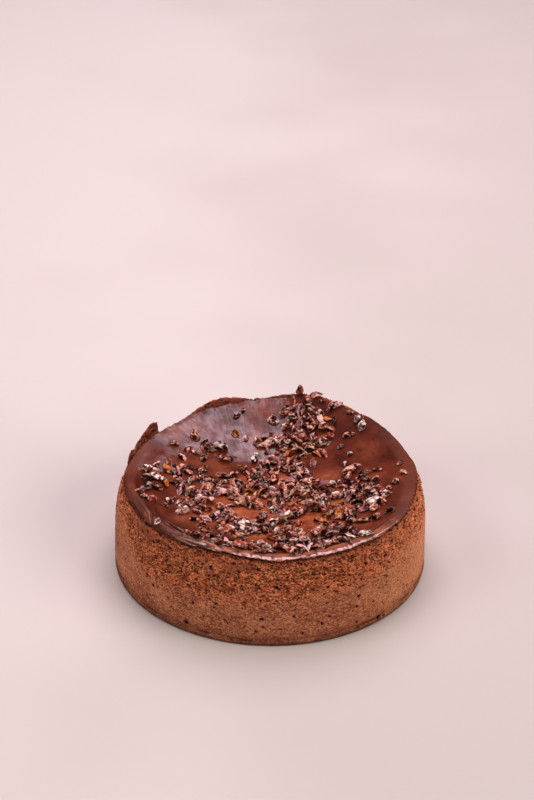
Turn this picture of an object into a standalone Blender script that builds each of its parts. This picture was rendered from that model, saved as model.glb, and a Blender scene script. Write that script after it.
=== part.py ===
"""Whole chocolate Basque cheesecake: a baked cake with a sunken glossy top, topped with cacao nibs.

One solid. The cake is a turned form whose rim rises and dips round the edge, and the nibs are fused to it.
Metres, +Z up, origin at the centre of the foot, front of the cake towards -Y. Angles are in degrees,
counted from +X towards +Y.
"""

import math
import random

import bmesh
import bpy
from mathutils import Matrix, Vector, noise

MM = 0.001

# Wall, from the foot up to the crest of the rim
FOOT_RADIUS = 90.0 * MM
WALL_RADIUS = 89.1 * MM
CREST_RADIUS = 83.5 * MM
CREST_HEIGHT = 54.5 * MM
CREST_WAVER = 0.5 * MM
RADIUS_WAVER = 1.6 * MM
SHOULDER_START = 27.0 * MM
SHOULDER_POWER = 1.75
FOOT_ROUNDING = 1.4 * MM
FOOT_GROOVE = 0.7 * MM
GROOVE_HEIGHT = 3.8 * MM
GROOVE_WIDTH = 1.1 * MM
LEAN = 0.006

# Rises and dips of the crest: angle, rise, and how far it reaches below and above that angle
CREST_SWELLS = (
    (72.0, 8.0 * MM, 19.0, 15.0),
    (113.0, 6.4 * MM, 9.0, 8.5),
    (38.0, 0.8 * MM, 8.0, 12.0),
    (-105.0, 1.4 * MM, 9.0, 9.0),
    (-80.0, -1.2 * MM, 14.0, 25.0),
    (136.0, -2.2 * MM, 8.0, 10.0),
    (176.0, -4.2 * MM, 15.0, 16.0),
    (12.0, -2.4 * MM, 18.0, 22.0),
)

# Top, from the crest of the rim in to the sunken middle
FLOOR_HEIGHT = 44.0 * MM
FLOOR_SHARE = 0.28
DISH_POWER = 1.8
CREST_ROUNDING = 2.6 * MM
SWELL_HEIGHT = 0.7 * MM
SWELL_SIZE = 26.0 * MM
LEVEL_WIDTH = 12.0 * MM

# Lip and crease that the skin folds into at the front left
FOLD_ANGLE = -145.0
FOLD_REACH = 28.0
LIP_HEIGHT = 1.1 * MM
LIP_INSET = 3.5 * MM
LIP_WIDTH = 3.2 * MM
CREASE_DEPTH = 1.2 * MM
CREASE_INSET = 10.5 * MM
CREASE_WIDTH = 2.2 * MM

# Rough baked band under the rim
CRAG_DEPTH = 2.8 * MM
CRAG_SIZE = 5.2 * MM
CRAG_FROM = 0.42
CRAG_FULL = 0.62
CRAG_FADE = 0.06

# Torn flake of crust that stands on the rim at the back left, with its rise at equal steps from one end
FLAKE_START = 143.0
FLAKE_END = 168.0
FLAKE_RISES = (4.6, 7.0, 7.6, 6.6, 5.4, 4.8, 4.0, 4.4, 0.6)
FLAKE_THICKNESS = 1.9 * MM
FLAKE_ROOT = 4.0 * MM

# Rings of the top, from the middle out: share of the crest's radius, and count of points
TOP_RINGS = (
    (0.13, 14),
    (0.3, 28),
    (0.5, 56),
    (0.66, 56),
    (0.79, 56),
    (0.88, 112),
    (0.94, 112),
    (0.975, 112),
    (1.0, 112),
)
# Rings of the wall, from the crest down: share of the crest's height, then heights of the foot
SEGMENTS = 112
WALL_SHARES = (0.985, 0.94, 0.87, 0.79, 0.7, 0.6, 0.49, 0.35)
FOOT_HEIGHTS = (5.6 * MM, 3.8 * MM, 1.4 * MM, 0.0)

# Nibs
NIB_SEED = 23
NIB_COUNT = 165
NIB_LONGEST = 8.8 * MM
NIB_SHORTEST = 4.4 * MM
NIB_LENGTH_POWER = 0.55
NIB_SPACING = 0.34
NIB_SINK = 0.27
NIB_TILT = 20.0
NIB_CHIPPING = 0.2
NIB_TRIES = 400
RIM_MARGIN = 4.5 * MM
CLUMP_SIZE = 9.0
CLUMPING = 0.9

# Where the nibs lie, in millimetres: centre x and y and half sizes of each drift, and how thick it is
DRIFTS = (
    (-2.0, -62.0, 48.0, 18.0, 1.0),
    (2.0, -16.0, 60.0, 40.0, 0.7),
    (-50.0, -2.0, 28.0, 26.0, 0.7),
    (8.0, 6.0, 20.0, 34.0, 0.95),
    (43.0, -12.0, 20.0, 28.0, 0.95),
    (21.0, 56.0, 15.0, 26.0, 0.9),
    (4.0, 45.0, 13.0, 8.0, 1.0),
    (-40.0, 34.0, 8.0, 9.0, 0.6),
)
# Places that stay bare between them: centre x and y and half sizes
BARE_PATCHES = (
    (-29.0, 21.0, 10.0, 10.0),
    (-62.0, -13.0, 6.0, 6.0),
    (12.0, -14.0, 7.0, 4.0),
    (-16.0, -27.0, 10.0, 8.0),
    (22.0, -33.0, 8.0, 7.0),
    (27.0, 16.0, 7.0, 7.0),
    (58.0, -54.0, 14.0, 9.0),
    (-64.0, -40.0, 11.0, 14.0),
    (-36.0, -34.0, 5.0, 6.0),
)
# Nibs that stand out, apart from the drifts or larger than the rest: x and y in millimetres, and length
STANDOUTS = (
    (-57.0, 39.0, 6.0 * MM),
    (-53.0, 27.0, 7.4 * MM),
    (-46.0, 50.0, 8.4 * MM),
    (-39.0, 42.0, 9.6 * MM),
    (-39.0, 30.0, 8.0 * MM),
    (-29.0, 42.0, 9.0 * MM),
    (-27.0, 30.0, 7.6 * MM),
    (-21.0, 66.0, 5.8 * MM),
    (-17.0, 72.0, 5.0 * MM),
    (-21.0, 53.0, 6.2 * MM),
    (-15.0, 50.0, 5.2 * MM),
    (-9.0, 49.0, 6.2 * MM),
    (-9.0, 31.0, 8.8 * MM),
    (2.0, 65.0, 7.0 * MM),
    (38.0, 70.0, 8.4 * MM),
    (26.0, 77.0, 8.0 * MM),
    (33.0, 61.0, 8.0 * MM),
    (34.0, 50.0, 8.2 * MM),
    (23.0, 42.0, 8.0 * MM),
    (51.0, 58.0, 8.4 * MM),
    (46.0, 48.0, 7.0 * MM),
    (41.0, 40.0, 4.6 * MM),
    (46.0, 32.0, 5.0 * MM),
    (49.0, 21.0, 7.0 * MM),
    (55.0, 13.0, 8.0 * MM),
    (62.0, 14.0, 5.0 * MM),
    (75.0, 18.0, 5.0 * MM),
    (76.0, 8.0, 5.2 * MM),
    (72.0, -1.0, 6.0 * MM),
    (65.0, -17.0, 6.2 * MM),
    (59.0, -30.0, 8.0 * MM),
    (66.0, -36.0, 6.6 * MM),
    (57.0, -42.0, 8.0 * MM),
    (41.0, -64.0, 8.4 * MM),
    (-3.0, 2.0, 10.4 * MM),
    (-17.0, -15.0, 9.6 * MM),
    (-15.0, -37.0, 6.4 * MM),
    (-37.0, 0.0, 9.4 * MM),
    (-45.0, -6.0, 9.8 * MM),
    (-50.0, -31.0, 9.0 * MM),
    (-29.0, 12.0, 6.6 * MM),
    (-60.0, -27.0, 6.0 * MM),
    (-75.0, -16.0, 6.8 * MM),
    (-61.0, -55.0, 5.6 * MM),
)
# The nib that stands on the rim at the back
STANDING_ANGLE = 78.0
STANDING_INSET = 1.0 * MM
STANDING_LENGTH = 7.6 * MM
STANDING_LIFT = 0.3
STANDING_TILT = 84.0


def turn_from(angle, other):
    """Turn from one angle to another, between -180 and 180 degrees."""
    return (angle - other + 180.0) % 360.0 - 180.0


def swell(angle, centre, rise, below, above):
    """Rise of one swell of the crest at an angle."""
    away = turn_from(angle, centre)
    reach = above if away > 0 else below
    return rise * math.exp(-0.5 * (away / reach) ** 2)


def bump(distance, width):
    """1 at no distance, falling smoothly to 0 past a width."""
    return math.exp(-((distance / width) ** 2))


def round_noise(angle, spread, layer):
    """Smooth noise round the cake, between about -1 and 1."""
    turn = math.radians(angle)
    return noise.noise(Vector((spread * math.cos(turn), spread * math.sin(turn), layer)))


def crest_height(angle):
    """Height of the rim's crest at an angle."""
    rises = sum(swell(angle, *each) for each in CREST_SWELLS)
    return CREST_HEIGHT + rises + CREST_WAVER * round_noise(angle, 3.0, 5.0)


def crest_radius(angle):
    """Radius of the rim's crest at an angle."""
    return CREST_RADIUS + RADIUS_WAVER * round_noise(angle, 2.0, 9.0)


def fold_height(inset, angle):
    """Rise of the lip and fall of the crease at a distance in from the crest."""
    lip = LIP_HEIGHT * bump(inset - LIP_INSET, LIP_WIDTH)
    crease = CREASE_DEPTH * bump(inset - CREASE_INSET, CREASE_WIDTH)
    return (lip - crease) * math.exp(-0.5 * (turn_from(angle, FOLD_ANGLE) / FOLD_REACH) ** 2)


def top_height(radius, angle):
    """Height of the sunken top at a radius inside the crest."""
    crest = crest_height(angle)
    edge = crest_radius(angle)
    inset = max(0.0, edge - radius)
    eased = math.hypot(inset, CREST_ROUNDING) - CREST_ROUNDING
    share = max(0.0, (1 - eased / edge - FLOOR_SHARE) / (1 - FLOOR_SHARE))
    turn = math.radians(angle)
    place = Vector((radius * math.cos(turn), radius * math.sin(turn), 0.0)) / SWELL_SIZE
    uneven = SWELL_HEIGHT * min(1.0, inset / LEVEL_WIDTH) * noise.noise(place)
    return FLOOR_HEIGHT + (crest - FLOOR_HEIGHT) * share**DISH_POWER + uneven + fold_height(inset, angle)


def wall_point(share, angle):
    """Radius and height of the smooth wall, from the foot at share 0 to the crest at share 1."""
    crest = crest_height(angle)
    edge = crest_radius(angle)
    straight = SHOULDER_START / crest
    if share > straight:
        turn = (share - straight) / (1 - straight) * math.pi / 2
        power = 2 / SHOULDER_POWER
        radius = edge + (WALL_RADIUS - edge) * math.cos(turn) ** power
        return radius, SHOULDER_START + (crest - SHOULDER_START) * math.sin(turn) ** power
    height = share * crest
    radius = FOOT_RADIUS + (WALL_RADIUS - FOOT_RADIUS) * share / straight
    radius -= FOOT_GROOVE * bump(height - GROOVE_HEIGHT, GROOVE_WIDTH)
    if height < FOOT_ROUNDING:
        radius -= FOOT_ROUNDING * (1 - math.sqrt(1 - (1 - height / FOOT_ROUNDING) ** 2))
    return radius, height


def crag_depth(share, angle, radius, height):
    """How far the rough baked band falls back from the smooth wall."""
    turn = math.radians(angle)
    place = Vector((radius * math.cos(turn), radius * math.sin(turn), height)) / CRAG_SIZE
    rough = min(1.0, max(0.0, (share - CRAG_FROM) / (CRAG_FULL - CRAG_FROM)))
    rough *= min(1.0, (1 - share) / CRAG_FADE)
    return CRAG_DEPTH * rough * (0.4 - 0.5 * noise.noise(place))


def placed(radius, angle, height):
    """The point at a radius, angle and height, with the cake's slight lean."""
    turn = math.radians(angle)
    return Vector((radius * math.cos(turn) + LEAN * height, radius * math.sin(turn), height))


def top_point(share, angle):
    """Point of the top at a share of the crest's radius."""
    radius = share * crest_radius(angle)
    return placed(radius, angle, top_height(radius, angle))


def wall_surface(share, angle):
    """Point of the rough wall at a share of the crest's height."""
    radius, height = wall_point(share, angle)
    return placed(radius - crag_depth(share, angle, radius, height), angle, height)


def foot_surface(height, angle):
    """Point of the foot at a height."""
    radius, _ = wall_point(height / crest_height(angle), angle)
    return placed(radius, angle, height)


def ring(mesh, count, surface, level):
    """A closed ring of new vertices round the cake, where a surface passes one level."""
    return [mesh.verts.new(surface(level, step * 360.0 / count)) for step in range(count)]


def stitch(mesh, inner, outer):
    """Joins two closed rings of vertices, of any counts, by triangles."""
    here, there = 0, 0
    while here < len(inner) or there < len(outer):
        near = inner[here % len(inner)]
        far = outer[there % len(outer)]
        if (there + 1) * len(inner) <= (here + 1) * len(outer):
            there += 1
            mesh.faces.new((near, far, outer[there % len(outer)]))
        else:
            here += 1
            mesh.faces.new((near, far, inner[here % len(inner)]))


def solid_object(name, mesh):
    """A mesh object in the scene, from a bmesh."""
    data = bpy.data.meshes.new(name)
    mesh.to_mesh(data)
    mesh.free()
    made = bpy.data.objects.new(name, data)
    bpy.context.scene.collection.objects.link(made)
    return made


def make_cake():
    """The cake without its nibs."""
    mesh = bmesh.new()
    rings = [ring(mesh, count, top_point, share) for share, count in TOP_RINGS]
    rings += [ring(mesh, SEGMENTS, wall_surface, share) for share in WALL_SHARES]
    rings += [ring(mesh, SEGMENTS, foot_surface, height) for height in FOOT_HEIGHTS]
    for inner, outer in zip(rings, rings[1:]):
        stitch(mesh, inner, outer)
    middle = mesh.verts.new(top_point(0.0, 0.0))
    for here, there in zip(rings[0], rings[0][1:] + rings[0][:1]):
        mesh.faces.new((middle, here, there))
    mesh.faces.new(rings[-1][::-1])
    return solid_object("cheesecake", mesh)


def flake_section(step):
    """Four corners of the torn flake at a step of its length: inner and outer foot, outer and inner top."""
    share = step / (len(FLAKE_RISES) - 1)
    angle = FLAKE_START + (FLAKE_END - FLAKE_START) * share
    edge = crest_radius(angle) + FLAKE_THICKNESS / 3
    crest = crest_height(angle)
    top = crest + FLAKE_RISES[step] * MM
    half = FLAKE_THICKNESS / 2 * (0.5 + 0.5 * math.sin(math.pi * share))
    return (
        placed(edge - half, angle, crest - FLAKE_ROOT),
        placed(edge + half, angle, crest - FLAKE_ROOT),
        placed(edge + half, angle, top - FLAKE_THICKNESS / 2),
        placed(edge - half, angle, top),
    )


def make_flake():
    """The torn flake of crust that stands on the rim."""
    mesh = bmesh.new()
    loops = [[mesh.verts.new(point) for point in flake_section(step)] for step in range(len(FLAKE_RISES))]
    for here, there in zip(loops, loops[1:]):
        for side in range(len(here)):
            other = (side + 1) % len(here)
            mesh.faces.new((there[side], there[other], here[other], here[side]))
    mesh.faces.new(loops[0])
    mesh.faces.new(loops[-1][::-1])
    bmesh.ops.triangulate(mesh, faces=mesh.faces[:])
    return solid_object("torn_flake", mesh)


def away_from(x, y, centre_x, centre_y, half_x, half_y):
    """Squared distance from the centre of an oval, 1 on its edge."""
    return ((x - centre_x) / half_x) ** 2 + ((y - centre_y) / half_y) ** 2


def thickness_at(x, y):
    """How thickly nibs are strewn at a place in millimetres, from 0 to 1."""
    thick = 0.0
    for *oval, share in DRIFTS:
        thick = max(thick, share * min(1.0, max(0.0, 1.8 - 1.6 * away_from(x, y, *oval))))
    for oval in BARE_PATCHES:
        thick *= min(1.0, max(0.04, away_from(x, y, *oval) - 0.35))
    clump = noise.noise(Vector((x, y, NIB_SEED)) / CLUMP_SIZE)
    return thick * max(0.0, 1 + CLUMPING * clump)


def inside_rim(x, y):
    """Whether a place lies on the top, clear of the rim."""
    angle = math.degrees(math.atan2(y, x))
    return math.hypot(x, y) < crest_radius(angle) - RIM_MARGIN


def strewn_nibs():
    """Place and length of every nib, those that stand out first and then the largest."""
    draw = random.Random(NIB_SEED)
    nibs = [(x * MM, y * MM, length) for x, y, length in STANDOUTS]
    for number in range(NIB_COUNT):
        share = (number / (NIB_COUNT - 1)) ** NIB_LENGTH_POWER
        length = NIB_LONGEST + (NIB_SHORTEST - NIB_LONGEST) * share
        for _ in range(NIB_TRIES):
            x = draw.uniform(-CREST_RADIUS, CREST_RADIUS)
            y = draw.uniform(-CREST_RADIUS, CREST_RADIUS)
            if thickness_at(x / MM, y / MM) < draw.random() or not inside_rim(x, y):
                continue
            if all(math.hypot(x - a, y - b) > NIB_SPACING * (length + size) for a, b, size in nibs):
                nibs.append((x, y, length))
                break
    return nibs


def nib_shape(draw, length):
    """A chipped, tapered splinter about the origin, and its half height."""
    mesh = bmesh.new()
    sides = draw.choice((4, 4, 5))
    taper = draw.uniform(0.5, 0.85)
    bmesh.ops.create_cone(mesh, cap_ends=True, segments=sides, radius1=1.0, radius2=taper, depth=2.0)
    bmesh.ops.triangulate(mesh, faces=mesh.faces[:])
    half = Vector((0.56, draw.uniform(0.36, 0.5), draw.uniform(0.2, 0.32))) * length
    for vertex in mesh.verts:
        chipped = vertex.co + Vector([draw.uniform(-NIB_CHIPPING, NIB_CHIPPING) for _ in range(3)])
        vertex.co = chipped * half
    return mesh, half.z


def make_nib(number, x, y, length):
    """One nib, lying partly sunk in the top."""
    draw = random.Random(NIB_SEED + 1 + number)
    mesh, half_height = nib_shape(draw, length)
    turn = Matrix.Rotation(math.radians(draw.uniform(0, 360)), 4, "Z")
    tilt = Matrix.Rotation(math.radians(draw.uniform(-NIB_TILT, NIB_TILT)), 4, "X")
    height = top_height(math.hypot(x, y), math.degrees(math.atan2(y, x)))
    height += half_height * (1 - 2 * NIB_SINK)
    place = Matrix.Translation((x + LEAN * height, y, height))
    bmesh.ops.transform(mesh, matrix=place @ turn @ tilt, verts=mesh.verts)
    return solid_object("nib", mesh)


def make_standing_nib():
    """The nib that stands on end on the rim at the back."""
    mesh, _ = nib_shape(random.Random(NIB_SEED), STANDING_LENGTH)
    radius = crest_radius(STANDING_ANGLE) - STANDING_INSET
    height = top_height(radius, STANDING_ANGLE) + STANDING_LENGTH * STANDING_LIFT
    upright = Matrix.Rotation(math.radians(STANDING_TILT), 4, "Y")
    place = Matrix.Translation(placed(radius, STANDING_ANGLE, height))
    bmesh.ops.transform(mesh, matrix=place @ upright, verts=mesh.verts)
    return solid_object("standing_nib", mesh)


def fuse(base, additions):
    """Joins the additions to the base by one union, and removes them."""
    collection = bpy.data.collections.new("additions")
    for each in additions:
        collection.objects.link(each)
    union = base.modifiers.new("fuse", "BOOLEAN")
    union.operation = "UNION"
    union.operand_type = "COLLECTION"
    union.collection = collection
    union.solver = "MANIFOLD"
    graph = bpy.context.evaluated_depsgraph_get()
    joined = bpy.data.meshes.new_from_object(base.evaluated_get(graph))
    base.modifiers.clear()
    base.data = joined
    for each in additions:
        bpy.data.objects.remove(each)
    bpy.data.collections.remove(collection)


def shells_of(mesh):
    """The vertices of each connected surface of a mesh, smallest first."""
    left = set(mesh.verts)
    shells = []
    while left:
        front = [left.pop()]
        shell = list(front)
        while front:
            vertex = front.pop()
            fresh = [edge.other_vert(vertex) for edge in vertex.link_edges]
            fresh = [other for other in fresh if other in left]
            left.difference_update(fresh)
            shell.extend(fresh)
            front.extend(fresh)
        shells.append(shell)
    return sorted(shells, key=len)


def keep_largest_shell(target):
    """Drops loose scraps and the walls of sealed pockets, which fills the pockets."""
    mesh = bmesh.new()
    mesh.from_mesh(target.data)
    loose = [vertex for shell in shells_of(mesh)[:-1] for vertex in shell]
    bmesh.ops.delete(mesh, geom=loose, context="VERTS")
    mesh.to_mesh(target.data)
    mesh.free()


def baked_chocolate():
    """The cake's material: matt brown crumb."""
    material = bpy.data.materials.new("baked_chocolate")
    material.use_nodes = True
    shader = material.node_tree.nodes["Principled BSDF"]
    shader.inputs["Base Color"].default_value = (0.23, 0.085, 0.04, 1.0)
    shader.inputs["Roughness"].default_value = 0.6
    shader.inputs["Metallic"].default_value = 0.0
    return material


def main():
    """Clears the scene and builds the cheesecake."""
    for old in list(bpy.data.objects):
        bpy.data.objects.remove(old)
    cake = make_cake()
    additions = [make_flake(), make_standing_nib()]
    additions += [make_nib(number, *nib) for number, nib in enumerate(strewn_nibs())]
    fuse(cake, additions)
    keep_largest_shell(cake)
    cake.data.materials.clear()
    cake.data.materials.append(baked_chocolate())
    cake.data.shade_smooth()
    cake.data.set_sharp_from_angle(angle=math.radians(35))


main()
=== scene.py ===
"""Looks of a whole chocolate Basque cheesecake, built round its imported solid.

The cake is a baked crumb body under a glossy sunken skin, with a torn flake of crust on its rim and
cacao nibs strewn over the top. The form repeats the solid's own sizes, so each piece lies where the
solid is. Metres, +Z up, origin at the centre of the foot, front of the cake towards -Y. Angles are in
degrees, counted from +X towards +Y. A fall is a distance out over the crest of the rim and down the
wall, and it is negative inside the crest.
"""

from __future__ import annotations

import logging
import math
import random
from dataclasses import dataclass, replace
from enum import Enum
from typing import Any, Sequence

import bmesh
import bpy
import numpy as np
from mathutils import Euler, Matrix, Vector, noise


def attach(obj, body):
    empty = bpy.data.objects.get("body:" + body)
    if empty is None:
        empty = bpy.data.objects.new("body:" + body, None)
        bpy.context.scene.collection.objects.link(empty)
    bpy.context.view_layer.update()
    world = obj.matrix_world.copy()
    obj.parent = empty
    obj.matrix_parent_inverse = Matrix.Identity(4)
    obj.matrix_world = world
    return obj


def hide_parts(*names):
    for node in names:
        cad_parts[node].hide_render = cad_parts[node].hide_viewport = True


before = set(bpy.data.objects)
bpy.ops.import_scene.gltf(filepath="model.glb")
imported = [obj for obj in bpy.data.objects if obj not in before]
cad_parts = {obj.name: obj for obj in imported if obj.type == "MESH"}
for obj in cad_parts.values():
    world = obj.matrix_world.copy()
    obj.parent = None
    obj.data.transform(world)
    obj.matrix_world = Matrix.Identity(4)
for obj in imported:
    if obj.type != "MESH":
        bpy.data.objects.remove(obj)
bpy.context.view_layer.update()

MM = 0.001
NODE = "cheesecake"
BODY = "root"
log = logging.getLogger("cheesecake")

Array = np.ndarray
Colour = Triple = tuple[float, float, float]
Pair = tuple[float, float]
Knots = tuple[Pair, ...]
Rows = tuple[tuple[float, ...], ...]
Object = bpy.types.Object
Material = bpy.types.Material
NodeTree = bpy.types.NodeTree
Node = bpy.types.Node
Socket = bpy.types.NodeSocket


# Measures and noise


def from_hex(code: str) -> Colour:
    """The linear colour of a six-digit display code."""
    shares = [int(code[start : start + 2], 16) / 255 for start in (0, 2, 4)]
    return tuple(c / 12.92 if c <= 0.04045 else ((c + 0.055) / 1.055) ** 2.4 for c in shares)


def noise_at(points: Array, size: float, layer: float = 0.0, basis: str = "PERLIN_ORIGINAL") -> Array:
    """Smooth noise in space.

    Args:
        points: places, with x, y and z along the last axis.
        size: size of the noise's lumps, in metres.
        layer: sets one noise apart from another.
        basis: Blender's name of the noise.

    Returns:
        A value for each place, between about -1 and 1.
    """
    flat = points.reshape(-1, 3) / size
    flat = flat + np.array((0.0, 0.0, layer))
    values = [noise.noise(place, noise_basis=basis) for place in flat.tolist()]
    return np.array(values).reshape(points.shape[:-1])


def bump(distance: Array, width: float) -> Array:
    """1 at no distance, falling smoothly to 0 past a width."""
    return np.exp(-((distance / width) ** 2))


def smooth_step(value: Array, low: float, high: float) -> Array:
    """0 below one value and 1 above another, with a smooth rise between them."""
    share = np.clip((value - low) / (high - low), 0.0, 1.0)
    return share * share * (3 - 2 * share)


def spot(places: Array, x: float, y: float, width: float) -> Array:
    """1 over a point of the top in millimetres, falling smoothly to 0 past a width."""
    return bump(np.hypot(places[..., 0] - x, places[..., 1] - y), width)


def evenly(count: int) -> Array:
    """Angles spaced evenly round the cake."""
    return np.arange(count) * 360.0 / count


def turn_from(angles: Array, other: float) -> Array:
    """Turn from one angle to others, between -180 and 180 degrees."""
    return (angles - other + 180.0) % 360.0 - 180.0


def round_noise(angles: Array, spread: float, layer: float) -> Array:
    """Smooth noise round the cake, between about -1 and 1."""
    turn = np.radians(angles)
    places = np.stack([spread * np.cos(turn), spread * np.sin(turn), np.full_like(turn, layer)], axis=-1)
    return noise_at(places, 1.0)


def noises_at(points: Array, waves: Rows) -> Array:
    """A sum of smooth noises, each given by its height, its size in millimetres and its layer."""
    return sum(height * noise_at(points, size * MM, layer) for height, size, layer in waves)


def round_noises(angles: Array, waves: Rows) -> Array:
    """A sum of smooth noises round the cake, each given by its height, its spread and its layer."""
    return sum(height * round_noise(angles, spread, layer) for height, spread, layer in waves)


def round_curve(angles: Array, knots: Sequence[Pair]) -> Array:
    """A curve round the cake through knots of angle and value, eased between them.

    Args:
        angles: where it is wanted.
        knots: angle and value of each knot, in order of angle.

    Returns:
        A value for each angle.
    """
    at = np.array([knot[0] for knot in knots])
    values = np.array([knot[1] for knot in knots])
    at = np.concatenate([at[-1:] - 360.0, at, at[:1] + 360.0])
    values = np.concatenate([values[-1:], values, values[:1]])
    turned = (angles + 180.0) % 360.0 - 180.0
    after = np.clip(np.searchsorted(at, turned, side="right"), 1, len(at) - 1)
    share = (turned - at[after - 1]) / (at[after] - at[after - 1])
    share = share * share * (3 - 2 * share)
    return values[after - 1] + (values[after] - values[after - 1]) * share


# The cake's form


@dataclass(frozen=True)
class CakeForm:
    """The smooth form of the cake, as the solid has it: wall, crest of the rim and sunken top."""

    foot_radius: float = 90.0 * MM
    wall_radius: float = 89.1 * MM
    crest_radius: float = 83.5 * MM
    crest_height: float = 54.5 * MM
    crest_waver: float = 0.5 * MM
    radius_waver: float = 1.6 * MM
    shoulder_start: float = 27.0 * MM
    shoulder_power: float = 1.75
    foot_rounding: float = 1.4 * MM
    foot_groove: float = 0.7 * MM
    groove_height: float = 3.8 * MM
    groove_width: float = 1.1 * MM
    lean: float = 0.006
    # Rises and dips of the crest: angle, rise, and reach below and above that angle
    crest_swells: Rows = (
        (72, 8 * MM, 19, 15), (113, 6.4 * MM, 9, 8.5), (38, 0.8 * MM, 8, 12), (-105, 1.4 * MM, 9, 9),
        (-80, -1.2 * MM, 14, 25), (136, -2.2 * MM, 8, 10), (176, -4.2 * MM, 15, 16),
        (12, -2.4 * MM, 18, 22),
    )
    floor_height: float = 44.0 * MM
    floor_share: float = 0.28
    dish_power: float = 1.8
    # The two high lobes of the crest stand steeper over the dish than the rest of it
    lobes: int = 2
    lobe_power: float = 3.2
    crest_rounding: float = 2.6 * MM
    swell_height: float = 0.7 * MM
    swell_size: float = 26.0 * MM
    level_width: float = 12.0 * MM
    fold_angle: float = -145.0
    fold_reach: float = 28.0
    lip_height: float = 1.1 * MM
    lip_inset: float = 3.5 * MM
    lip_width: float = 3.2 * MM
    crease_depth: float = 1.2 * MM
    crease_inset: float = 10.5 * MM
    crease_width: float = 2.2 * MM
    crag_depth: float = 2.8 * MM
    crag_size: float = 5.2 * MM

    def swell_at(self, angles: Array, swells: Rows) -> Array:
        """Rise of some of the crest's swells."""
        rise = np.zeros_like(angles)
        for centre, most, below, above in swells:
            away = turn_from(angles, centre)
            rise = rise + most * np.exp(-0.5 * (away / np.where(away > 0, above, below)) ** 2)
        return rise

    def crest_at(self, angles: Array) -> Array:
        """Height of the rim's crest."""
        waver = self.crest_waver * round_noise(angles, 3.0, 5.0)
        return self.crest_height + waver + self.swell_at(angles, self.crest_swells)

    def edge_at(self, angles: Array) -> Array:
        """Radius of the rim's crest."""
        return self.crest_radius + self.radius_waver * round_noise(angles, 2.0, 9.0)

    def fold_at(self, inset: Array, angles: Array) -> Array:
        """Rise of the lip and fall of the crease at a distance in from the crest."""
        lip = self.lip_height * bump(inset - self.lip_inset, self.lip_width)
        crease = self.crease_depth * bump(inset - self.crease_inset, self.crease_width)
        return (lip - crease) * np.exp(-0.5 * (turn_from(angles, self.fold_angle) / self.fold_reach) ** 2)

    def top_at(self, radius: Array, angles: Array) -> Array:
        """Height of the sunken top at a radius inside the crest.

        Args:
            radius: distances from the axis.
            angles: angles round the cake.

        Returns:
            Heights in metres.
        """
        crest, edge = self.crest_at(angles), self.edge_at(angles)
        inset = np.maximum(0.0, edge - radius)
        eased = np.hypot(inset, self.crest_rounding) - self.crest_rounding
        share = np.maximum(0.0, (1 - eased / edge - self.floor_share) / (1 - self.floor_share))
        turn = np.radians(angles)
        places = np.stack(np.broadcast_arrays(radius * np.cos(turn), radius * np.sin(turn), 0.0), axis=-1)
        level = np.minimum(1.0, inset / self.level_width)
        uneven = self.swell_height * level * noise_at(places, self.swell_size)
        lobe = self.swell_at(angles, self.crest_swells[: self.lobes])
        dish = (crest - lobe - self.floor_height) * share**self.dish_power + lobe * share**self.lobe_power
        return self.floor_height + dish + uneven + self.fold_at(inset, angles)

    def shoulder_arc(self) -> tuple[Array, Array]:
        """Falls along the shoulder and the turns that they reach, from the crest down."""
        turns = np.linspace(math.pi / 2, 0.0, 400)
        power = 2 / self.shoulder_power
        across = (self.wall_radius - self.crest_radius) * np.maximum(np.cos(turns), 0.0) ** power
        up = (self.crest_height - self.shoulder_start) * np.sin(turns) ** power
        steps = np.hypot(np.diff(across), np.diff(up))
        return np.concatenate([[0.0], np.cumsum(steps)]), turns

    def surface(self, angles: Array, falls: Array) -> Array:
        """Points of the smooth form.

        Args:
            angles: angles round the cake.
            falls: falls from the crest, of a shape that goes with the angles.

        Returns:
            Points, with x, y and z along the last axis.
        """
        crest, edge = self.crest_at(angles), self.edge_at(angles)
        inner = edge + np.minimum(falls, 0.0)
        arc, turns = self.shoulder_arc()
        turn = np.interp(falls, arc, turns)
        power = 2 / self.shoulder_power
        outer = edge + (self.wall_radius - edge) * np.maximum(np.cos(turn), 0.0) ** power
        height = self.shoulder_start + (crest - self.shoulder_start) * np.sin(turn) ** power
        height = height + self.fold_at(-falls, angles) * (falls > 0)
        low = np.clip(self.shoulder_start + arc[-1] - falls, 0.0, self.shoulder_start)
        straight = self.foot_radius + (self.wall_radius - self.foot_radius) * low / self.shoulder_start
        straight = straight - self.foot_groove * bump(low - self.groove_height, self.groove_width)
        round_in = np.clip(1 - low / self.foot_rounding, 0.0, 1.0)
        straight = straight - self.foot_rounding * (1 - np.sqrt(1 - round_in**2))
        on_wall = falls > arc[-1]
        outer, height = np.where(on_wall, straight, outer), np.where(on_wall, low, height)
        radius = np.where(falls < 0, inner, outer)
        height = np.where(falls < 0, self.top_at(inner, angles), height)
        return self.placed(radius, angles, height)

    def placed(self, radius: Array, angles: Array, height: Array) -> Array:
        """The points at radii, angles and heights, with the cake's slight lean."""
        turn = np.radians(angles)
        x, y = radius * np.cos(turn) + self.lean * height, radius * np.sin(turn)
        return np.stack(np.broadcast_arrays(x, y, height), axis=-1)

    def facing(self, angles: Array, falls: Array) -> Array:
        """Unit directions out of the smooth form."""
        reach, turn = 0.5 * MM, 0.4
        along = self.surface(angles, falls + reach) - self.surface(angles, falls - reach)
        across = self.surface(angles + turn, falls) - self.surface(angles - turn, falls)
        out = np.cross(along, across)
        return out / np.maximum(np.linalg.norm(out, axis=-1, keepdims=True), 1e-12)

    def fall_to_foot(self) -> float:
        """Fall from the crest to the bottom of the foot."""
        return float(self.shoulder_arc()[0][-1]) + self.shoulder_start


# Closed shells of rings


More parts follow.
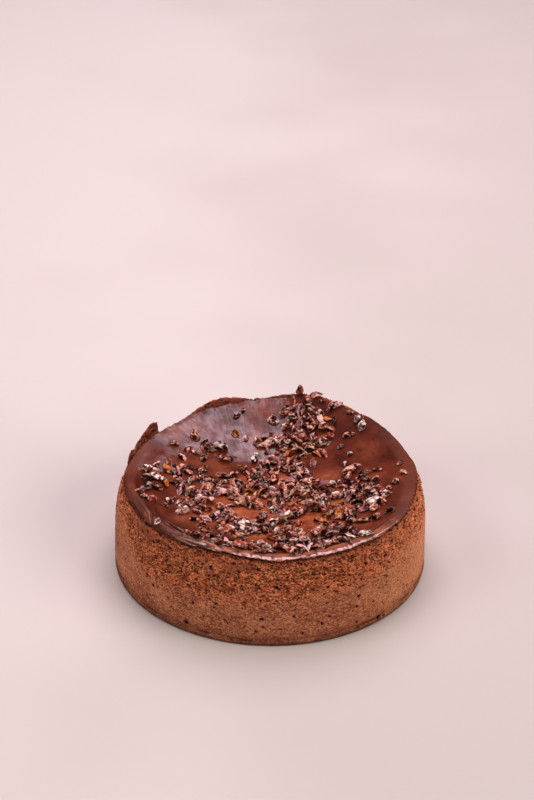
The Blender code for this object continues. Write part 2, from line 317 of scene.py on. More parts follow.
class Shell:
    """A closed surface of rings, from its upper pole out, down and in to its lower pole."""

    def __init__(self) -> None:
        """Starts with no rings."""
        self.rings: list[Array] = []
        self.marks: dict[str, list[Array]] = {}

    def add(self, points: Array, **marks: Any) -> None:
        """Adds one ring, or one pole, with a value of each mark for each of its points."""
        points = np.atleast_2d(points)
        self.rings.append(points)
        for name, values in marks.items():
            self.marks.setdefault(name, []).append(np.broadcast_to(values, len(points)).astype(float))

    @staticmethod
    def strip(near: range, far: range) -> list[tuple[int, ...]]:
        """Faces between two rings of any counts, or between a ring and a pole.

        Args:
            near: counts of the first ring's points.
            far: counts of the second ring's points.

        Returns:
            The faces, as counts of points.
        """
        count, other = len(near), len(far)
        if count == other:
            after = [(at + 1) % count for at in range(count)]
            return [(near[at], far[at], far[then], near[then]) for at, then in enumerate(after)]
        faces = []
        here, there = 0, 0
        while here < count or there < other:
            if there < other and (here >= count or (there + 1) * count <= (here + 1) * other):
                faces.append((near[here % count], far[there % other], far[(there + 1) % other]))
                there += 1
            else:
                faces.append((near[here % count], far[there % other], near[(here + 1) % count]))
                here += 1
        return [face for face in faces if len(set(face)) == 3]

    def to_object(self, name: str) -> Object:
        """Makes the mesh object, smooth and with its marks as point attributes."""
        starts = np.concatenate([[0], np.cumsum([len(ring) for ring in self.rings])])
        spans = [range(int(a), int(b)) for a, b in zip(starts, starts[1:])]
        faces = [face for near, far in zip(spans, spans[1:]) for face in self.strip(near, far)]
        marks = {mark: np.concatenate(values) for mark, values in self.marks.items()}
        return mesh_object(name, np.concatenate(self.rings), faces, marks)


def mesh_object(
    name: str, points: Array, faces: Sequence[Sequence[int]], marks: dict[str, Array]
) -> Object:
    """A smooth mesh object in the scene.

    Args:
        name: the piece's name.
        points: its points.
        faces: its faces, as counts of points.
        marks: values for each point, by the attribute's name.

    Returns:
        The object, at the origin.
    """
    data = bpy.data.meshes.new(name)
    data.from_pydata(points.tolist(), [], faces)
    for mark, values in marks.items():
        layer = data.attributes.new(mark, "FLOAT", "POINT")
        layer.data.foreach_set("value", np.asarray(values, np.float32))
    data.shade_smooth()
    data.update()
    made = bpy.data.objects.new(name, data)
    bpy.context.scene.collection.objects.link(made)
    return made


# Node wiring


class Wiring:
    """Adds nodes to a tree and joins them."""

    def __init__(self, tree: NodeTree) -> None:
        """Takes the tree to wire."""
        self.tree = tree

    def fill(self, node: Node, inputs: dict[Any, Any]) -> None:
        """Gives a node's inputs, by name or number, their values or other nodes' outputs."""
        for key, value in inputs.items():
            if isinstance(value, Socket):
                self.tree.links.new(value, node.inputs[key])
            else:
                node.inputs[key].default_value = value

    def node(self, kind: str, inputs: dict[Any, Any] | None = None, **settings: Any) -> Node:
        """Adds one node.

        Args:
            kind: Blender's name of the node's type.
            inputs: a value or another node's output, for each input by name or number.
            settings: the node's own settings.

        Returns:
            The node.
        """
        made = self.tree.nodes.new(kind)
        for name, value in settings.items():
            setattr(made, name, value)
        self.fill(made, inputs or {})
        return made

    def math(self, operation: str, *values: Any, clamp: bool = False) -> Socket:
        """The result of one sum on values or outputs."""
        inputs = dict(enumerate(values))
        return self.node("ShaderNodeMath", inputs, operation=operation, use_clamp=clamp).outputs[0]

    def times(self, first: Any, second: Any, clamp: bool = False) -> Socket:
        """One value times another."""
        return self.math("MULTIPLY", first, second, clamp=clamp)

    def plus(self, first: Any, second: Any, clamp: bool = False) -> Socket:
        """One value and another."""
        return self.math("ADD", first, second, clamp=clamp)

    def less(self, first: Any, second: Any, clamp: bool = False) -> Socket:
        """One value less another."""
        return self.math("SUBTRACT", first, second, clamp=clamp)

    def vector(self, operation: str, first: Any, second: Any) -> Socket:
        """The result of one sum on vectors."""
        inputs = {0: first, "Scale" if operation == "SCALE" else 1: second}
        return self.node("ShaderNodeVectorMath", inputs, operation=operation).outputs[0]

    def mixed(self, share: Any, first: Any, second: Any) -> Socket:
        """A colour between two colours."""
        first, second = (end if isinstance(end, Socket) else (*end, 1.0) for end in (first, second))
        return self.node("ShaderNodeMix", {0: share, 6: first, 7: second}, data_type="RGBA").outputs[2]

    def layered(self, colour: Any, *layers: tuple[Any, Any]) -> Socket:
        """A colour with others laid over it in turn, each by its share."""
        for share, over in layers:
            colour = self.mixed(share, colour, over)
        return colour

    def between(self, value: Any, low: float, high: float, least: float = 0.0, most: float = 1.0) -> Socket:
        """A value carried smoothly from one span to another, and held at its ends."""
        inputs = dict(enumerate((value, low, high, least, most)))
        return self.node("ShaderNodeMapRange", inputs, interpolation_type="SMOOTHSTEP").outputs[0]

    def mark(self, name: str) -> Socket:
        """The value of a mesh attribute."""
        return self.node("ShaderNodeAttribute", attribute_name=name).outputs["Fac"]

    def noise(self, place: Any, scale: Any, detail: float, rough: float = 0.5) -> Node:
        """A node of smooth noise."""
        inputs = {"Vector": place, "Scale": scale, "Detail": detail, "Roughness": rough}
        return self.node("ShaderNodeTexNoise", inputs)

    def lumps(self, place: Any, size: float, detail: float = 3.0, rough: float = 0.55) -> Socket:
        """Noise with lumps of a size in metres, around 0.5."""
        return self.noise(place, 1 / size, detail, rough).outputs["Fac"]

    def cells(self, place: Any, scale: Any, feature: str = "F1") -> Node:
        """A node of scattered cells."""
        return self.node("ShaderNodeTexVoronoi", {"Vector": place, "Scale": scale}, feature=feature)

    def channels(self, colour: Any) -> Sequence[Socket]:
        """The three channels of a colour, which are three chances where a cell gives the colour."""
        return self.node("ShaderNodeSeparateColor", {0: colour}).outputs

    def shader(self) -> Node:
        """The material's own shader."""
        return self.tree.nodes["Principled BSDF"]

    def dressed(self, colour: Any, height: Any, distance: float, strength: float) -> Node:
        """The material's shader, with its colour and its relief joined up."""
        relief = self.node("ShaderNodeBump", {"Strength": strength, "Distance": distance, "Height": height})
        self.fill(self.shader(), {"Base Color": colour, "Normal": relief.outputs["Normal"]})
        return self.shader()


def new_group(
    name: str, inputs: dict[str, str], outputs: dict[str, str], kind: str = "ShaderNodeTree"
) -> tuple[Wiring, Any]:
    """An empty node group.

    Args:
        name: the group's name.
        inputs: the kind of each input, by its name.
        outputs: the kind of each output, by its name.
        kind: Blender's name of the tree's type.

    Returns:
        The group's wiring, and the sockets that carry its inputs.
    """
    tree = bpy.data.node_groups.new(name, kind)
    for way, sockets in (("INPUT", inputs), ("OUTPUT", outputs)):
        for title, socket in sockets.items():
            tree.interface.new_socket(title, in_out=way, socket_type=socket)
    wire = Wiring(tree)
    return wire, wire.node("NodeGroupInput").outputs


def tone_group() -> NodeTree:
    """The shared group that lets a colour drift between a deep, a plain and a bright tone in patches."""
    takes = {"Place": "NodeSocketVector"}
    takes.update(dict.fromkeys(("Deep", "Plain", "Bright"), "NodeSocketColor"))
    takes.update(dict.fromkeys(("Patch Scale", "Speck Scale", "Specks"), "NodeSocketFloat"))
    wire, inputs = new_group("drifting_tone", takes, {"Tone": "NodeSocketColor"})
    patches = wire.noise(inputs["Place"], inputs["Patch Scale"], 2.0).outputs["Fac"]
    specks = wire.noise(inputs["Place"], inputs["Speck Scale"], 3.0, 0.6).outputs["Fac"]
    level = wire.plus(patches, wire.times(wire.less(specks, 0.5), inputs["Specks"]))
    lower = wire.mixed(wire.between(level, 0.3, 0.5), inputs["Deep"], inputs["Plain"])
    tone = wire.mixed(wire.between(level, 0.5, 0.72), lower, inputs["Bright"])
    wire.node("NodeGroupOutput", {"Tone": tone})
    return wire.tree


def grain_group() -> NodeTree:
    """The shared group of fine grain and pinholes: a height for bump, and a mask of the holes."""
    takes = {"Place": "NodeSocketVector"}
    takes.update(dict.fromkeys(("Grain Scale", "Hole Scale", "Hole Width", "Hole Share"), "NodeSocketFloat"))
    gives = dict.fromkeys(("Height", "Holes"), "NodeSocketFloat")
    wire, inputs = new_group("fine_grain", takes, gives)
    grain = wire.noise(inputs["Place"], inputs["Grain Scale"], 4.0, 0.65).outputs["Fac"]
    cells = wire.cells(inputs["Place"], inputs["Hole Scale"]).outputs
    picked = wire.channels(cells["Color"])
    width = wire.times(inputs["Hole Width"], wire.between(picked[1], 0.0, 1.0, 0.4, 1.0))
    inside = wire.less(1.0, wire.math("DIVIDE", cells["Distance"], width), clamp=True)
    chosen = wire.math("LESS_THAN", picked[0], inputs["Hole Share"])
    holes = wire.times(wire.between(inside, 0.0, 0.6), chosen)
    wire.node("NodeGroupOutput", {"Height": wire.less(grain, wire.times(holes, 1.5)), "Holes": holes})
    return wire.tree


@dataclass(frozen=True)
class Effects:
    """The node groups that more than one finish uses."""

    tone: NodeTree
    grain: NodeTree

    @classmethod
    def built(cls) -> Effects:
        """Builds both groups once."""
        return cls(tone=tone_group(), grain=grain_group())

    def toned(
        self, wire: Wiring, place: Any, tones: Sequence[Colour], patch: float, speck: float, specks: float
    ) -> Socket:
        """A colour that drifts between three tones.

        Args:
            wire: the material's wiring.
            place: the coordinates.
            tones: the deep, the plain and the bright tone.
            patch: size of the patches, in metres.
            speck: size of the specks, in metres.
            specks: how strong the specks are.

        Returns:
            The colour.
        """
        inputs = {"Place": place, "Patch Scale": 1 / patch, "Speck Scale": 1 / speck, "Specks": specks}
        inputs.update(zip(("Deep", "Plain", "Bright"), ((*tone, 1.0) for tone in tones)))
        return wire.node("ShaderNodeGroup", inputs, node_tree=self.tone).outputs["Tone"]

    def grained(
        self, wire: Wiring, place: Any, grain: float, cell: float, width: float, share: float
    ) -> tuple[Socket, Socket]:
        """A height of fine grain with holes, and a mask of the holes.

        Args:
            wire: the material's wiring.
            place: the coordinates.
            grain: size of the grain, in metres.
            cell: distance between places for a hole, in metres.
            width: half width of the largest hole, in cells.
            share: share of the places that have a hole.

        Returns:
            The height and the mask.
        """
        inputs = {"Place": place, "Grain Scale": 1 / grain, "Hole Scale": 1 / cell, "Hole Width": width}
        inputs["Hole Share"] = share
        outputs = wire.node("ShaderNodeGroup", inputs, node_tree=self.grain).outputs
        return outputs["Height"], outputs["Holes"]


def new_material(name: str) -> tuple[Material, Wiring, Socket]:
    """A material with its wiring and its Object coordinates."""
    material = bpy.data.materials.new(name)
    material.use_nodes = True
    wire = Wiring(material.node_tree)
    place = wire.node("ShaderNodeTexCoord").outputs["Object"]
    return material, wire, place


# Finishes


@dataclass(frozen=True)
class CrumbFinish:
    """Matt baked crumb: reads the marks of its mesh: roughness, painted shade in hollows, crust, foot,
    painted light on the lit side, and painted highlights on raised crumb and the rims of pits.
    """

    name: str = "baked_crumb"
    # The deep, the plain and the bright tone of smooth crumb, and of the rough band
    smooth: tuple[Colour, ...] = (from_hex("88482f"), from_hex("9c5b40"), from_hex("b7734f"))
    baked: tuple[Colour, ...] = (from_hex("5c1a09"), from_hex("7f2f1b"), from_hex("d4673a"))
    # Dark of the painted shade in pits and hollows, and also of the dark sand grain
    pit: Colour = from_hex("1d0401")
    # Tone of the painted highlights on ridges and rims of pits, and of the painted light on rough crumb
    ridge: Colour = from_hex("ea8c5a")
    # Tone of the painted light on the lit side of smooth crumb, and of its pale sand
    glow: Colour = from_hex("e69868")
    crust: Colour = from_hex("702c1b")
    foot: Colour = from_hex("54261a")
    roughness: float = 0.78
    specular: float = 0.15
    smooth_patch: float = 18 * MM
    smooth_speck: float = 1.2 * MM
    baked_patch: float = 7.0 * MM
    baked_speck: float = 1.0 * MM
    # Grains and pinholes look pressed flat by this much
    flattening: float = 1.7
    cell: float = 1.05 * MM
    bend_size: float = 2.2 * MM
    bend: float = 3.0 * MM
    sand: float = 0.9 * MM
    # How far each tint covers what lies under it, where its mark or mask is full
    pit_share: float = 0.9
    lit_share: float = 0.56
    sand_shares: Pair = (0.68, 0.75)
    brink_highlight_share: float = 0.4
    crust_share: float = 0.75
    foot_share: float = 0.85
    hole_share: float = 0.95
    relief: float = 0.5 * MM
    relief_strength: float = 0.7

    def sponge(self, wire: Wiring, place: Any) -> tuple[Socket, Socket, Socket]:
        """Masks of the pits, painted dark as shade, and of the thin ridges of torn crumb, painted light as
        highlights, and their height.

        Args:
            wire: the material's wiring.
            place: the coordinates.

        Returns:
            The pits, the ridges and the height.
        """
        off = wire.noise(place, 1 / self.bend_size, 2.0).outputs["Color"]
        off = wire.vector("SCALE", wire.vector("SUBTRACT", off, (0.5, 0.5, 0.5)), self.bend)
        bent = wire.vector("ADD", place, off)
        cells = wire.cells(bent, 1 / self.cell).outputs
        edges = wire.cells(bent, 1 / self.cell, "DISTANCE_TO_EDGE").outputs["Distance"]
        chosen = wire.between(wire.channels(cells["Color"])[0], 0.2, 0.4)
        pits = wire.times(wire.between(cells["Distance"], 0.42, 0.2), chosen)
        patches = wire.between(wire.lumps(place, 5 * MM, 2.0), 0.42, 0.6)
        ridges = wire.times(wire.between(edges, 0.14, 0.02), patches)
        return pits, ridges, wire.less(wire.times(ridges, 0.5), pits)

    def material(self, effects: Effects) -> Material:
        """Builds the material.

        Args:
            effects: the shared node groups.

        Returns:
            The material.
        """
        material, wire, place = new_material(self.name)
        flat = wire.vector("MULTIPLY", place, (1.0, 1.0, self.flattening))
        height, small = effects.grained(wire, flat, 0.8 * MM, 1.9 * MM, 0.3, 0.5)
        wide, large = effects.grained(wire, flat, 0.5 * MM, 4.2 * MM, 0.18, 0.7)
        holes = wire.math("MAXIMUM", small, large)
        rough = wire.mark("rough")
        height = wire.plus(wire.plus(height, wide), wire.times(wire.lumps(flat, 1.1 * MM, 1.0), 0.3))
        pits, ridges, relief = self.sponge(wire, place)
        height = wire.plus(height, wire.times(relief, wire.times(rough, 1.5)))
        smooth = effects.toned(wire, place, self.smooth, self.smooth_patch, self.smooth_speck, 1.0)
        baked = effects.toned(wire, place, self.baked, self.baked_patch, self.baked_speck, 1.4)
        light = wire.mixed(rough, self.glow, self.ridge)
        sand = wire.channels(wire.cells(flat, 1 / self.sand).outputs["Color"])[0]
        grit = wire.plus(wire.times(rough, 0.5), 0.75)
        dark_sand = wire.between(sand, 0.4, 0.0, 0.0, self.sand_shares[0])
        pale_sand = wire.between(sand, 0.6, 1.0, 0.0, self.sand_shares[1])
        colour = wire.layered(
            wire.mixed(rough, smooth, baked),
            # Painted highlight on the ridges and painted shade in the pits
            (wire.times(ridges, rough), self.ridge),
            (wire.times(pits, wire.times(rough, self.pit_share)), self.pit),
            # Painted light on the lit right side of the wall
            (wire.times(wire.mark("lit"), self.lit_share), light),
            (wire.times(dark_sand, grit), self.pit),
            (wire.times(pale_sand, grit), light),
            # Painted highlight on raised crumb and on the rims of pits
            (wire.times(wire.mark("brink_highlight"), self.brink_highlight_share), self.ridge),
            (wire.times(wire.mark("crust"), self.crust_share), self.crust),
            (wire.times(wire.mark("foot"), self.foot_share), self.foot),
            # Painted shade in the pinholes
            (wire.times(holes, self.hole_share), self.pit),
            # Painted shade in the hollows of the mesh
            (wire.mark("hollow_shade"), self.pit),
        )
        shader = wire.dressed(colour, height, self.relief, self.relief_strength)
        wire.fill(shader, {"Roughness": self.roughness, "Specular IOR Level": self.specular})
        return material


@dataclass(frozen=True)
class SkinFinish:
    """Satin skin of the baked top: reads the marks edge, pale, matt and crease of its mesh, where crease is
    painted shade.
    """

    name: str = "glossy_skin"
    # The deep, the plain and the bright tone of the dark skin, and of the pale skin in the dish
    dark: tuple[Colour, ...] = (from_hex("3c1206"), from_hex("58200e"), from_hex("70331b"))
    pale: tuple[Colour, ...] = (from_hex("702d16"), from_hex("94472a"), from_hex("b6683f"))
    edge_deep: Colour = from_hex("683f33")
    edge: Colour = from_hex("96583e")
    dark_patch: float = 16 * MM
    dark_speck: float = 2.5 * MM
    pale_patch: float = 13 * MM
    pale_speck: float = 2.0 * MM
    hole_share: float = 0.6
    crease_shade_share: float = 0.9
    smoothest: float = 0.22
    roughest: float = 0.36
    matt_share: float = 0.3
    specular: float = 0.06
    coat: float = 1.0
    coat_roughness: float = 0.1
    coat_ior: float = 2.0
    streak: float = 1.1 * MM
    streak_length: float = 9.0 * MM
    streak_radius: float = 65 * MM
    glint: float = 6.5 * MM
    # How far the coat shows between and on the streaks, and between and on the glints
    streak_gloss: Pair = (0.6, 1.1)
    glint_gloss: Pair = (0.75, 1.5)
    relief: float = 0.1 * MM
    relief_strength: float = 0.5

    def streaks(self, wire: Wiring, place: Any) -> Socket:
        """Fine streaks that run down the dish, around 0.5."""
        parts = wire.node("ShaderNodeSeparateXYZ", {0: place}).outputs
        turn = wire.math("ARCTAN2", parts[1], parts[0])
        reach = wire.node("ShaderNodeVectorMath", {0: place}, operation="LENGTH").outputs["Value"]
        along = wire.math("DIVIDE", reach, self.streak_length)
        across = wire.times(turn, self.streak_radius / self.streak)
        way = wire.node("ShaderNodeCombineXYZ", {0: across, 1: along}).outputs[0]
        return wire.noise(way, 1.0, 2.0).outputs["Fac"]

    def gloss(self, wire: Wiring, place: Any, streaks: Any) -> Socket:
        """How far the coat shows: in streaks and glints, and less where the skin is matt."""
        gloss = wire.times(wire.less(1.0, wire.mark("matt")), self.coat)
        gloss = wire.times(gloss, wire.between(streaks, 0.32, 0.62, *self.streak_gloss))
        glints = wire.between(wire.lumps(place, self.glint), 0.4, 0.6, *self.glint_gloss)
        return wire.times(gloss, glints, clamp=True)

    def material(self, effects: Effects) -> Material:
        """Builds the material.

        Args:
            effects: the shared node groups.

        Returns:
            The material.
        """
        material, wire, place = new_material(self.name)
        dark = effects.toned(wire, place, self.dark, self.dark_patch, self.dark_speck, 0.4)
        pale = effects.toned(wire, place, self.pale, self.pale_patch, self.pale_speck, 0.5)
        height, holes = effects.grained(wire, place, 2.2 * MM, 8.0 * MM, 0.05, 0.03)
        edge = wire.mark("edge")
        level = wire.plus(wire.lumps(place, 4 * MM), wire.times(wire.less(edge, 0.82), 1.4))
        band = wire.mixed(wire.between(level, 0.35, 0.62), self.edge_deep, self.edge)
        colour = wire.layered(
            wire.mixed(wire.mark("pale"), dark, pale),
            (edge, band),
            # Painted shade in the pits
            (wire.times(holes, self.hole_share), self.dark[0]),
            # Painted shade in the creases, the pits and the shaded slopes
            (wire.times(wire.mark("crease"), self.crease_shade_share), self.dark[0]),
        )
        streaks = self.streaks(wire, place)
        height = wire.plus(height, wire.times(streaks, 2.4))
        shader = wire.dressed(colour, height, self.relief, self.relief_strength)
        drift = wire.between(wire.lumps(place, 9 * MM, 4.0), 0.35, 0.65, self.smoothest, self.roughest)
        matt = wire.times(wire.mark("matt"), self.matt_share)
        wire.fill(
            shader,
            {
                "Roughness": wire.plus(drift, matt, clamp=True),
                "Specular IOR Level": self.specular,
                "Coat Weight": self.gloss(wire, place, streaks),
                "Coat Roughness": self.coat_roughness,
                "Coat IOR": self.coat_ior,
            },
        )
        return material


@dataclass(frozen=True)
class NibFinish:
    """Broken cacao nib: reads the marks of its mesh: pale ridges, which are partly painted highlights;
    painted shade in hollows and underneath; facets and tone.
    """

    name: str
    # Display codes of the dark, the middle and the light tone, and of the pale ridges, which are partly
    # painted highlights
    dark: str
    middle: str
    light: str
    ridge: str
    ridges: float = 0.8
    # How strong the painted shade in the cracks between crumbled cells is
    gaps: float = 0.6
    crumble: float = 2.1 * MM
    # How far the mark of the whole nib and the mark of each facet move the tone
    tone_reach: float = 0.4
    facet_reach: float = 0.5
    hollow_shade_share: float = 0.85
    smoothest: float = 0.35
    roughest: float = 0.65
    specular: float = 0.07
    relief: float = 0.5 * MM
    relief_strength: float = 0.9

    def rim(self, wire: Wiring, place: Any) -> Socket:
        """How far the pale broken ridges and veins show, which are partly the nib's pale edges and partly
        painted highlights.
        """
        vein = wire.math("ABSOLUTE", wire.less(wire.lumps(place, 2.6 * MM, 1.0), 0.52))
        patches = wire.between(wire.lumps(place, 3.2 * MM, 1.0), 0.4, 0.5)
        rim = wire.math("MAXIMUM", wire.mark("ridge"), wire.between(vein, 0.03, 0.0))
        return wire.times(rim, wire.times(patches, self.ridges), clamp=True)

    def material(self, effects: Effects) -> Material:
        """Builds the material.

        Args:
            effects: the shared node groups.

        Returns:
            The material.
        """
        material, wire, place = new_material(self.name)
        dark, middle, light, ridge = map(from_hex, (self.dark, self.middle, self.light, self.ridge))
        level = wire.lumps(place, 2.0 * MM, 2.0, 0.65)
        for mark, most in (("tone", self.tone_reach), ("facet", self.facet_reach)):
            level = wire.plus(level, wire.times(wire.less(wire.mark(mark), 0.5), most))
        cells = wire.cells(place, 1 / self.crumble).outputs["Distance"]
        colour = wire.layered(
            wire.mixed(wire.between(level, 0.38, 0.46), dark, middle),
            (wire.between(level, 0.54, 0.62), light),
            # Pale ridges: partly the nib's own pale edges, partly painted highlights
            (self.rim(wire, place), ridge),
            # Painted shade in the dents and on the underside
            (wire.times(wire.mark("hollow_shade"), self.hollow_shade_share), dark),
            # Painted shade in the cracks between crumbled cells
            (wire.times(wire.between(cells, 0.45, 0.6), self.gaps), dark),
        )
        height, _ = effects.grained(wire, place, 0.8 * MM, 2.0 * MM, 0.2, 0.3)
        height = wire.less(height, wire.times(cells, 0.6))
        shader = wire.dressed(colour, height, self.relief, self.relief_strength)
        drift = wire.lumps(place, 1.2 * MM, 2.0)
        rough = wire.between(drift, 0.35, 0.65, self.smoothest, self.roughest)
        wire.fill(shader, {"Roughness": rough, "Specular IOR Level": self.specular})
        return material


@dataclass(frozen=True)
class FloorFinish:
    """Pale table top, painted darker towards +X as shade against the brighter light from the right."""

    name: str = "pale_floor"
    plain: Colour = from_hex("c7bfb8")
    other: Colour = from_hex("bab2aa")
    roughness: float = 0.7
    drift_size: float = 0.3

    def material(self) -> Material:
        """Builds the material."""
        material, wire, place = new_material(self.name)
        across = wire.node("ShaderNodeSeparateXYZ", {0: place}).outputs[0]
        # Painted shade: darker towards +X, where the light from the right falls brighter
        drift = wire.between(wire.plus(across, wire.lumps(place, self.drift_size, 2.0)), 0.3, 0.7)
        colour = wire.mixed(drift, self.plain, self.other)
        wire.fill(wire.shader(), {"Base Color": colour, "Roughness": self.roughness})
        return material


# Pieces


def dress(piece: Object, material: Material | None) -> Object:
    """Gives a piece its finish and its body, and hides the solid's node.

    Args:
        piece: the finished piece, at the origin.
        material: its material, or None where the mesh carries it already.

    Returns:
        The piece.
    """
    if material is not None:
        piece.data.materials.clear()
        piece.data.materials.append(material)
    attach(piece, BODY)
    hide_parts(NODE)
    faces = sum(len(face.vertices) - 2 for face in piece.data.polygons)
    log.info("%s: %d triangles", piece.name, faces)
    return piece


@dataclass(frozen=True)
class BakedSkin:
    """The thin satin skin that lines the sunken top and rolls over the rim, with a ragged edge."""

    form: CakeForm
    proud: float = 0.25 * MM
    thickness: float = 1.0 * MM
    rim_width: float = 16.0 * MM
    rim_rows: int = 40
    rim_count: int = 900
    under_rows: int = 7
    ring_step: float = 1.15 * MM
    ragged: float = 0.7 * MM
    # Waves of the ragged edge: height, spread and layer
    edge_waves: Rows = ((1, 9, 2), (0.7, 26, 4), (0.5, 60, 6))
    # Waves of the skin's face: height and size in millimetres, and layer
    face_waves: Rows = ((0.2, 11, 0), (0.035, 3.4, 0), (0.01, 1.5, 0))
    # How far the skin reaches past the crest: angle and fall in millimetres
    reaches: Knots = (
        (-178, 0.4), (-165, 0.4), (-150, 0.3), (-130, 0.3), (-118, 0.4), (-105, 0.7), (-98, 1.1),
        (-92, 1.6), (-86, 1.5), (-80, 1.1), (-65, 1.1), (-50, 0.9), (-37, 0.3), (-27, 0), (-14, -1.1),
        (-3, -1.3), (6, 0.2), (15, 0.6), (45, 0.2), (55, -2.5), (62, -5.6), (73, -6.2), (80, -4),
        (89, -2.3), (100, -2.6), (106, -5.2), (113, -6.4), (120, -4.6), (127, -2.4), (138, -2.2),
        (150, -1.6), (160, -1.2), (170, -0.8),
    )
    # Folds along the rim: angle, reach, inset, slant for each degree, width and rise, in millimetres
    folds: Rows = (
        (-156, 6, 8.4, 0.1, 0.9, -0.8), (-150, 5, 10.6, 0.16, 1, -0.6), (-143, 8, 11.4, -0.1, 1, 0.6),
        (-142, 14, 5.7, 0.03, 1.1, -1.5), (-118, 8, 5.4, 0.02, 1, -1.3), (-143.5, 2, 2.8, 0.9, 0.9, -1.2),
        (-126, 1.8, 2.7, -0.8, 0.9, -1.1), (-110.5, 2, 3, 0.8, 0.9, -0.9), (-133, 7, 2.9, 0.1, 0.5, -0.35),
        (-151, 7, 2.2, 0.08, 0.5, -0.35), (-138, 9, 9, -0.08, 0.9, -0.8), (-128, 8, 9.6, 0.06, 0.8, -0.6),
        (-120, 8, 8.4, 0.08, 0.9, -0.8), (-107, 7, 8, -0.08, 0.9, -0.4), (-52, 4.5, 8.2, -0.16, 0.8, -0.9),
        (-44, 8, 6, 0.08, 0.8, -0.4), (-62, 7, 6.6, 0.05, 0.9, -0.4), (-75.5, 0.45, 0.2, 0, 1.8, -0.5),
        (-72.3, 0.3, 0.4, 0.3, 1.6, -0.4), (-89, 0.3, 0.2, -0.3, 1.6, -0.4),
        (-97, 0.35, 0.3, 0.2, 1.6, -0.4), (-102, 0.4, 0.4, 0, 1.5, -0.4), (-60, 0.25, 0.3, 0, 1.4, -0.35),
    )
    # Blisters and pits: x and y, width and rise, in millimetres
    spots: Rows = (
        (46, -57, 3.2, 1.1), (60, 31, 1.5, -0.35), (65, 27, 1.7, -0.4), (60, 46, 0.9, 0.2),
        (52, 36, 2.6, -0.35), (-69, -30, 2.8, 0.5), (-60, 12, 5, -0.35), (68, -20, 4, 0.3),
        (-39, 33, 14, -0.5), (-50, 18, 13, 0.4), (-57, 55, 13, 0.8), (-47, 62, 10, 0.4),
        (-27, 68, 11, -0.5),
    )
    # The rolled lip in lengths: angle, reach, inset of its axis, slant for each degree, half width and rise,
    # in millimetres
    rolls: Rows = (
        (-171, 10, 3, 0.03, 2.6, 1.2), (-152, 8, 2.8, 0.07, 2.1, 2.3), (-134, 8, 2.7, 0.07, 2.1, 2.4),
        (-118, 7, 2.7, 0.05, 2, 1.9),
    )
    # The round of the lip in front: angle, depth of its axis under the crest and radius, in millimetres
    rounds: Rows = (
        (-180, 9, 4), (-125, 8, 4), (-112, 3.6, 3.4), (-95, 3.2, 3.4), (-50, 3.2, 3.4), (-32, 4.4, 3.4),
        (-15, 9, 4),
    )
    round_inset: float = 0.3 * MM
    wrinkle: float = 0.2 * MM
    wrinkle_size: float = 1.5 * MM
    # How much deeper the cracks across the lip are than its wrinkles
    cracking: float = 1.6
    # How far the edge is puckered: angle and share
    puckers: Knots = (
        (-170, 0.5), (-125, 0.8), (-104, 1.5), (-90, 2), (-75, 1.2), (-50, 0.5), (-20, 0.4), (90, 0.3),
    )
    # How matt the rim is: angle and share
    matts: Knots = (
        (-175, 0.8), (-150, 0.75), (-115, 0.7), (-95, 0.25), (-60, 0), (-35, 0.2), (-15, 0.85), (60, 0.8),
        (88, 0.3), (130, 0.2), (146, 0.5), (157, 0.9),
    )
    # Places that shine less: x, y, width and share
    dull: Rows = ((-2, 70, 15, 0.75), (-66, 8, 12, 0.75), (-69, 31, 13, 0.95), (-70, 20, 13, 0.9))
    # How matt the skin is where it shines most
    least_matt: float = 0.63
    # How matt the band inside the lip is: angle and share
    bands_matt: Knots = ((-118, 0), (-108, 0.75), (-30, 0.75), (-12, 0), (120, 0))
    # How far the lip shines: angle and share
    lip_shine: Knots = ((-125, 0), (-108, 0.7), (-95, 1), (-40, 1), (-22, 0.4), (-10, 0))
    # Places painted darker as shade: x, y, width and share
    shades: Rows = ((19, 60, 14, 0.9), (40, 52, 15, 0.7), (58, 36, 12, 0.35), (-47, -46, 10, 0.25))
    # How far the paler band of the rim shows: angle and share
    bands: Knots = (
        (-175, 0.3), (-150, 0.74), (-125, 0.76), (-105, 0.9), (-45, 0.88), (-20, 0.5), (20, 0.3), (60, 0.1),
        (140, 0.1), (160, 0.4),
    )

    def edge_fall(self, angles: Array) -> Array:
        """Fall at which the skin ends."""
        return round_curve(angles, self.reaches) * MM + self.ragged * round_noises(angles, self.edge_waves)

    @staticmethod
    def beside(
        angles: Array, falls: Array, angle: float, reach: float, inset: float, slant: float
    ) -> tuple[Array, Array]:
        """How far points lie along a fold, in its reaches, and how far aside of it, in millimetres."""
        turn = turn_from(angles, angle)
        return turn / reach, -falls / MM - inset + slant * turn

    def relief(self, points: Array, angles: Array, falls: Array) -> Array:
        """Rise of the skin over the smooth form.

        Args:
            points: points of the smooth form.
            angles: their angles.
            falls: their falls from the crest.

        Returns:
            A rise in metres for each of them.
        """
        rise = noises_at(points, self.face_waves)
        for *fold, width, height in self.folds:
            along, aside = self.beside(angles, falls, *fold)
            rise = rise + height * bump(aside, width) * np.exp(-0.5 * along**2)
        for x, y, width, height in self.spots:
            rise = rise + height * spot(points / MM, x, y, width)
        for *roll, width, height in self.rolls:
            along, aside = self.beside(angles, falls, *roll)
            rise = rise + height * np.exp(-np.abs(aside / width) ** 3.4 - 0.7 * np.abs(along) ** 3)
        cracks = np.minimum(0.0, round_noise(angles, 52.0, 3.0) + 0.1)
        wrinkles = noise_at(points, self.wrinkle_size, 5.0) + self.cracking * cracks
        off = falls - self.edge_fall(angles)
        puckers = round_curve(angles, self.puckers) * bump(off + 1.4 * MM, 2.2 * MM)
        return rise * MM + self.wrinkle * wrinkles * puckers + self.proud

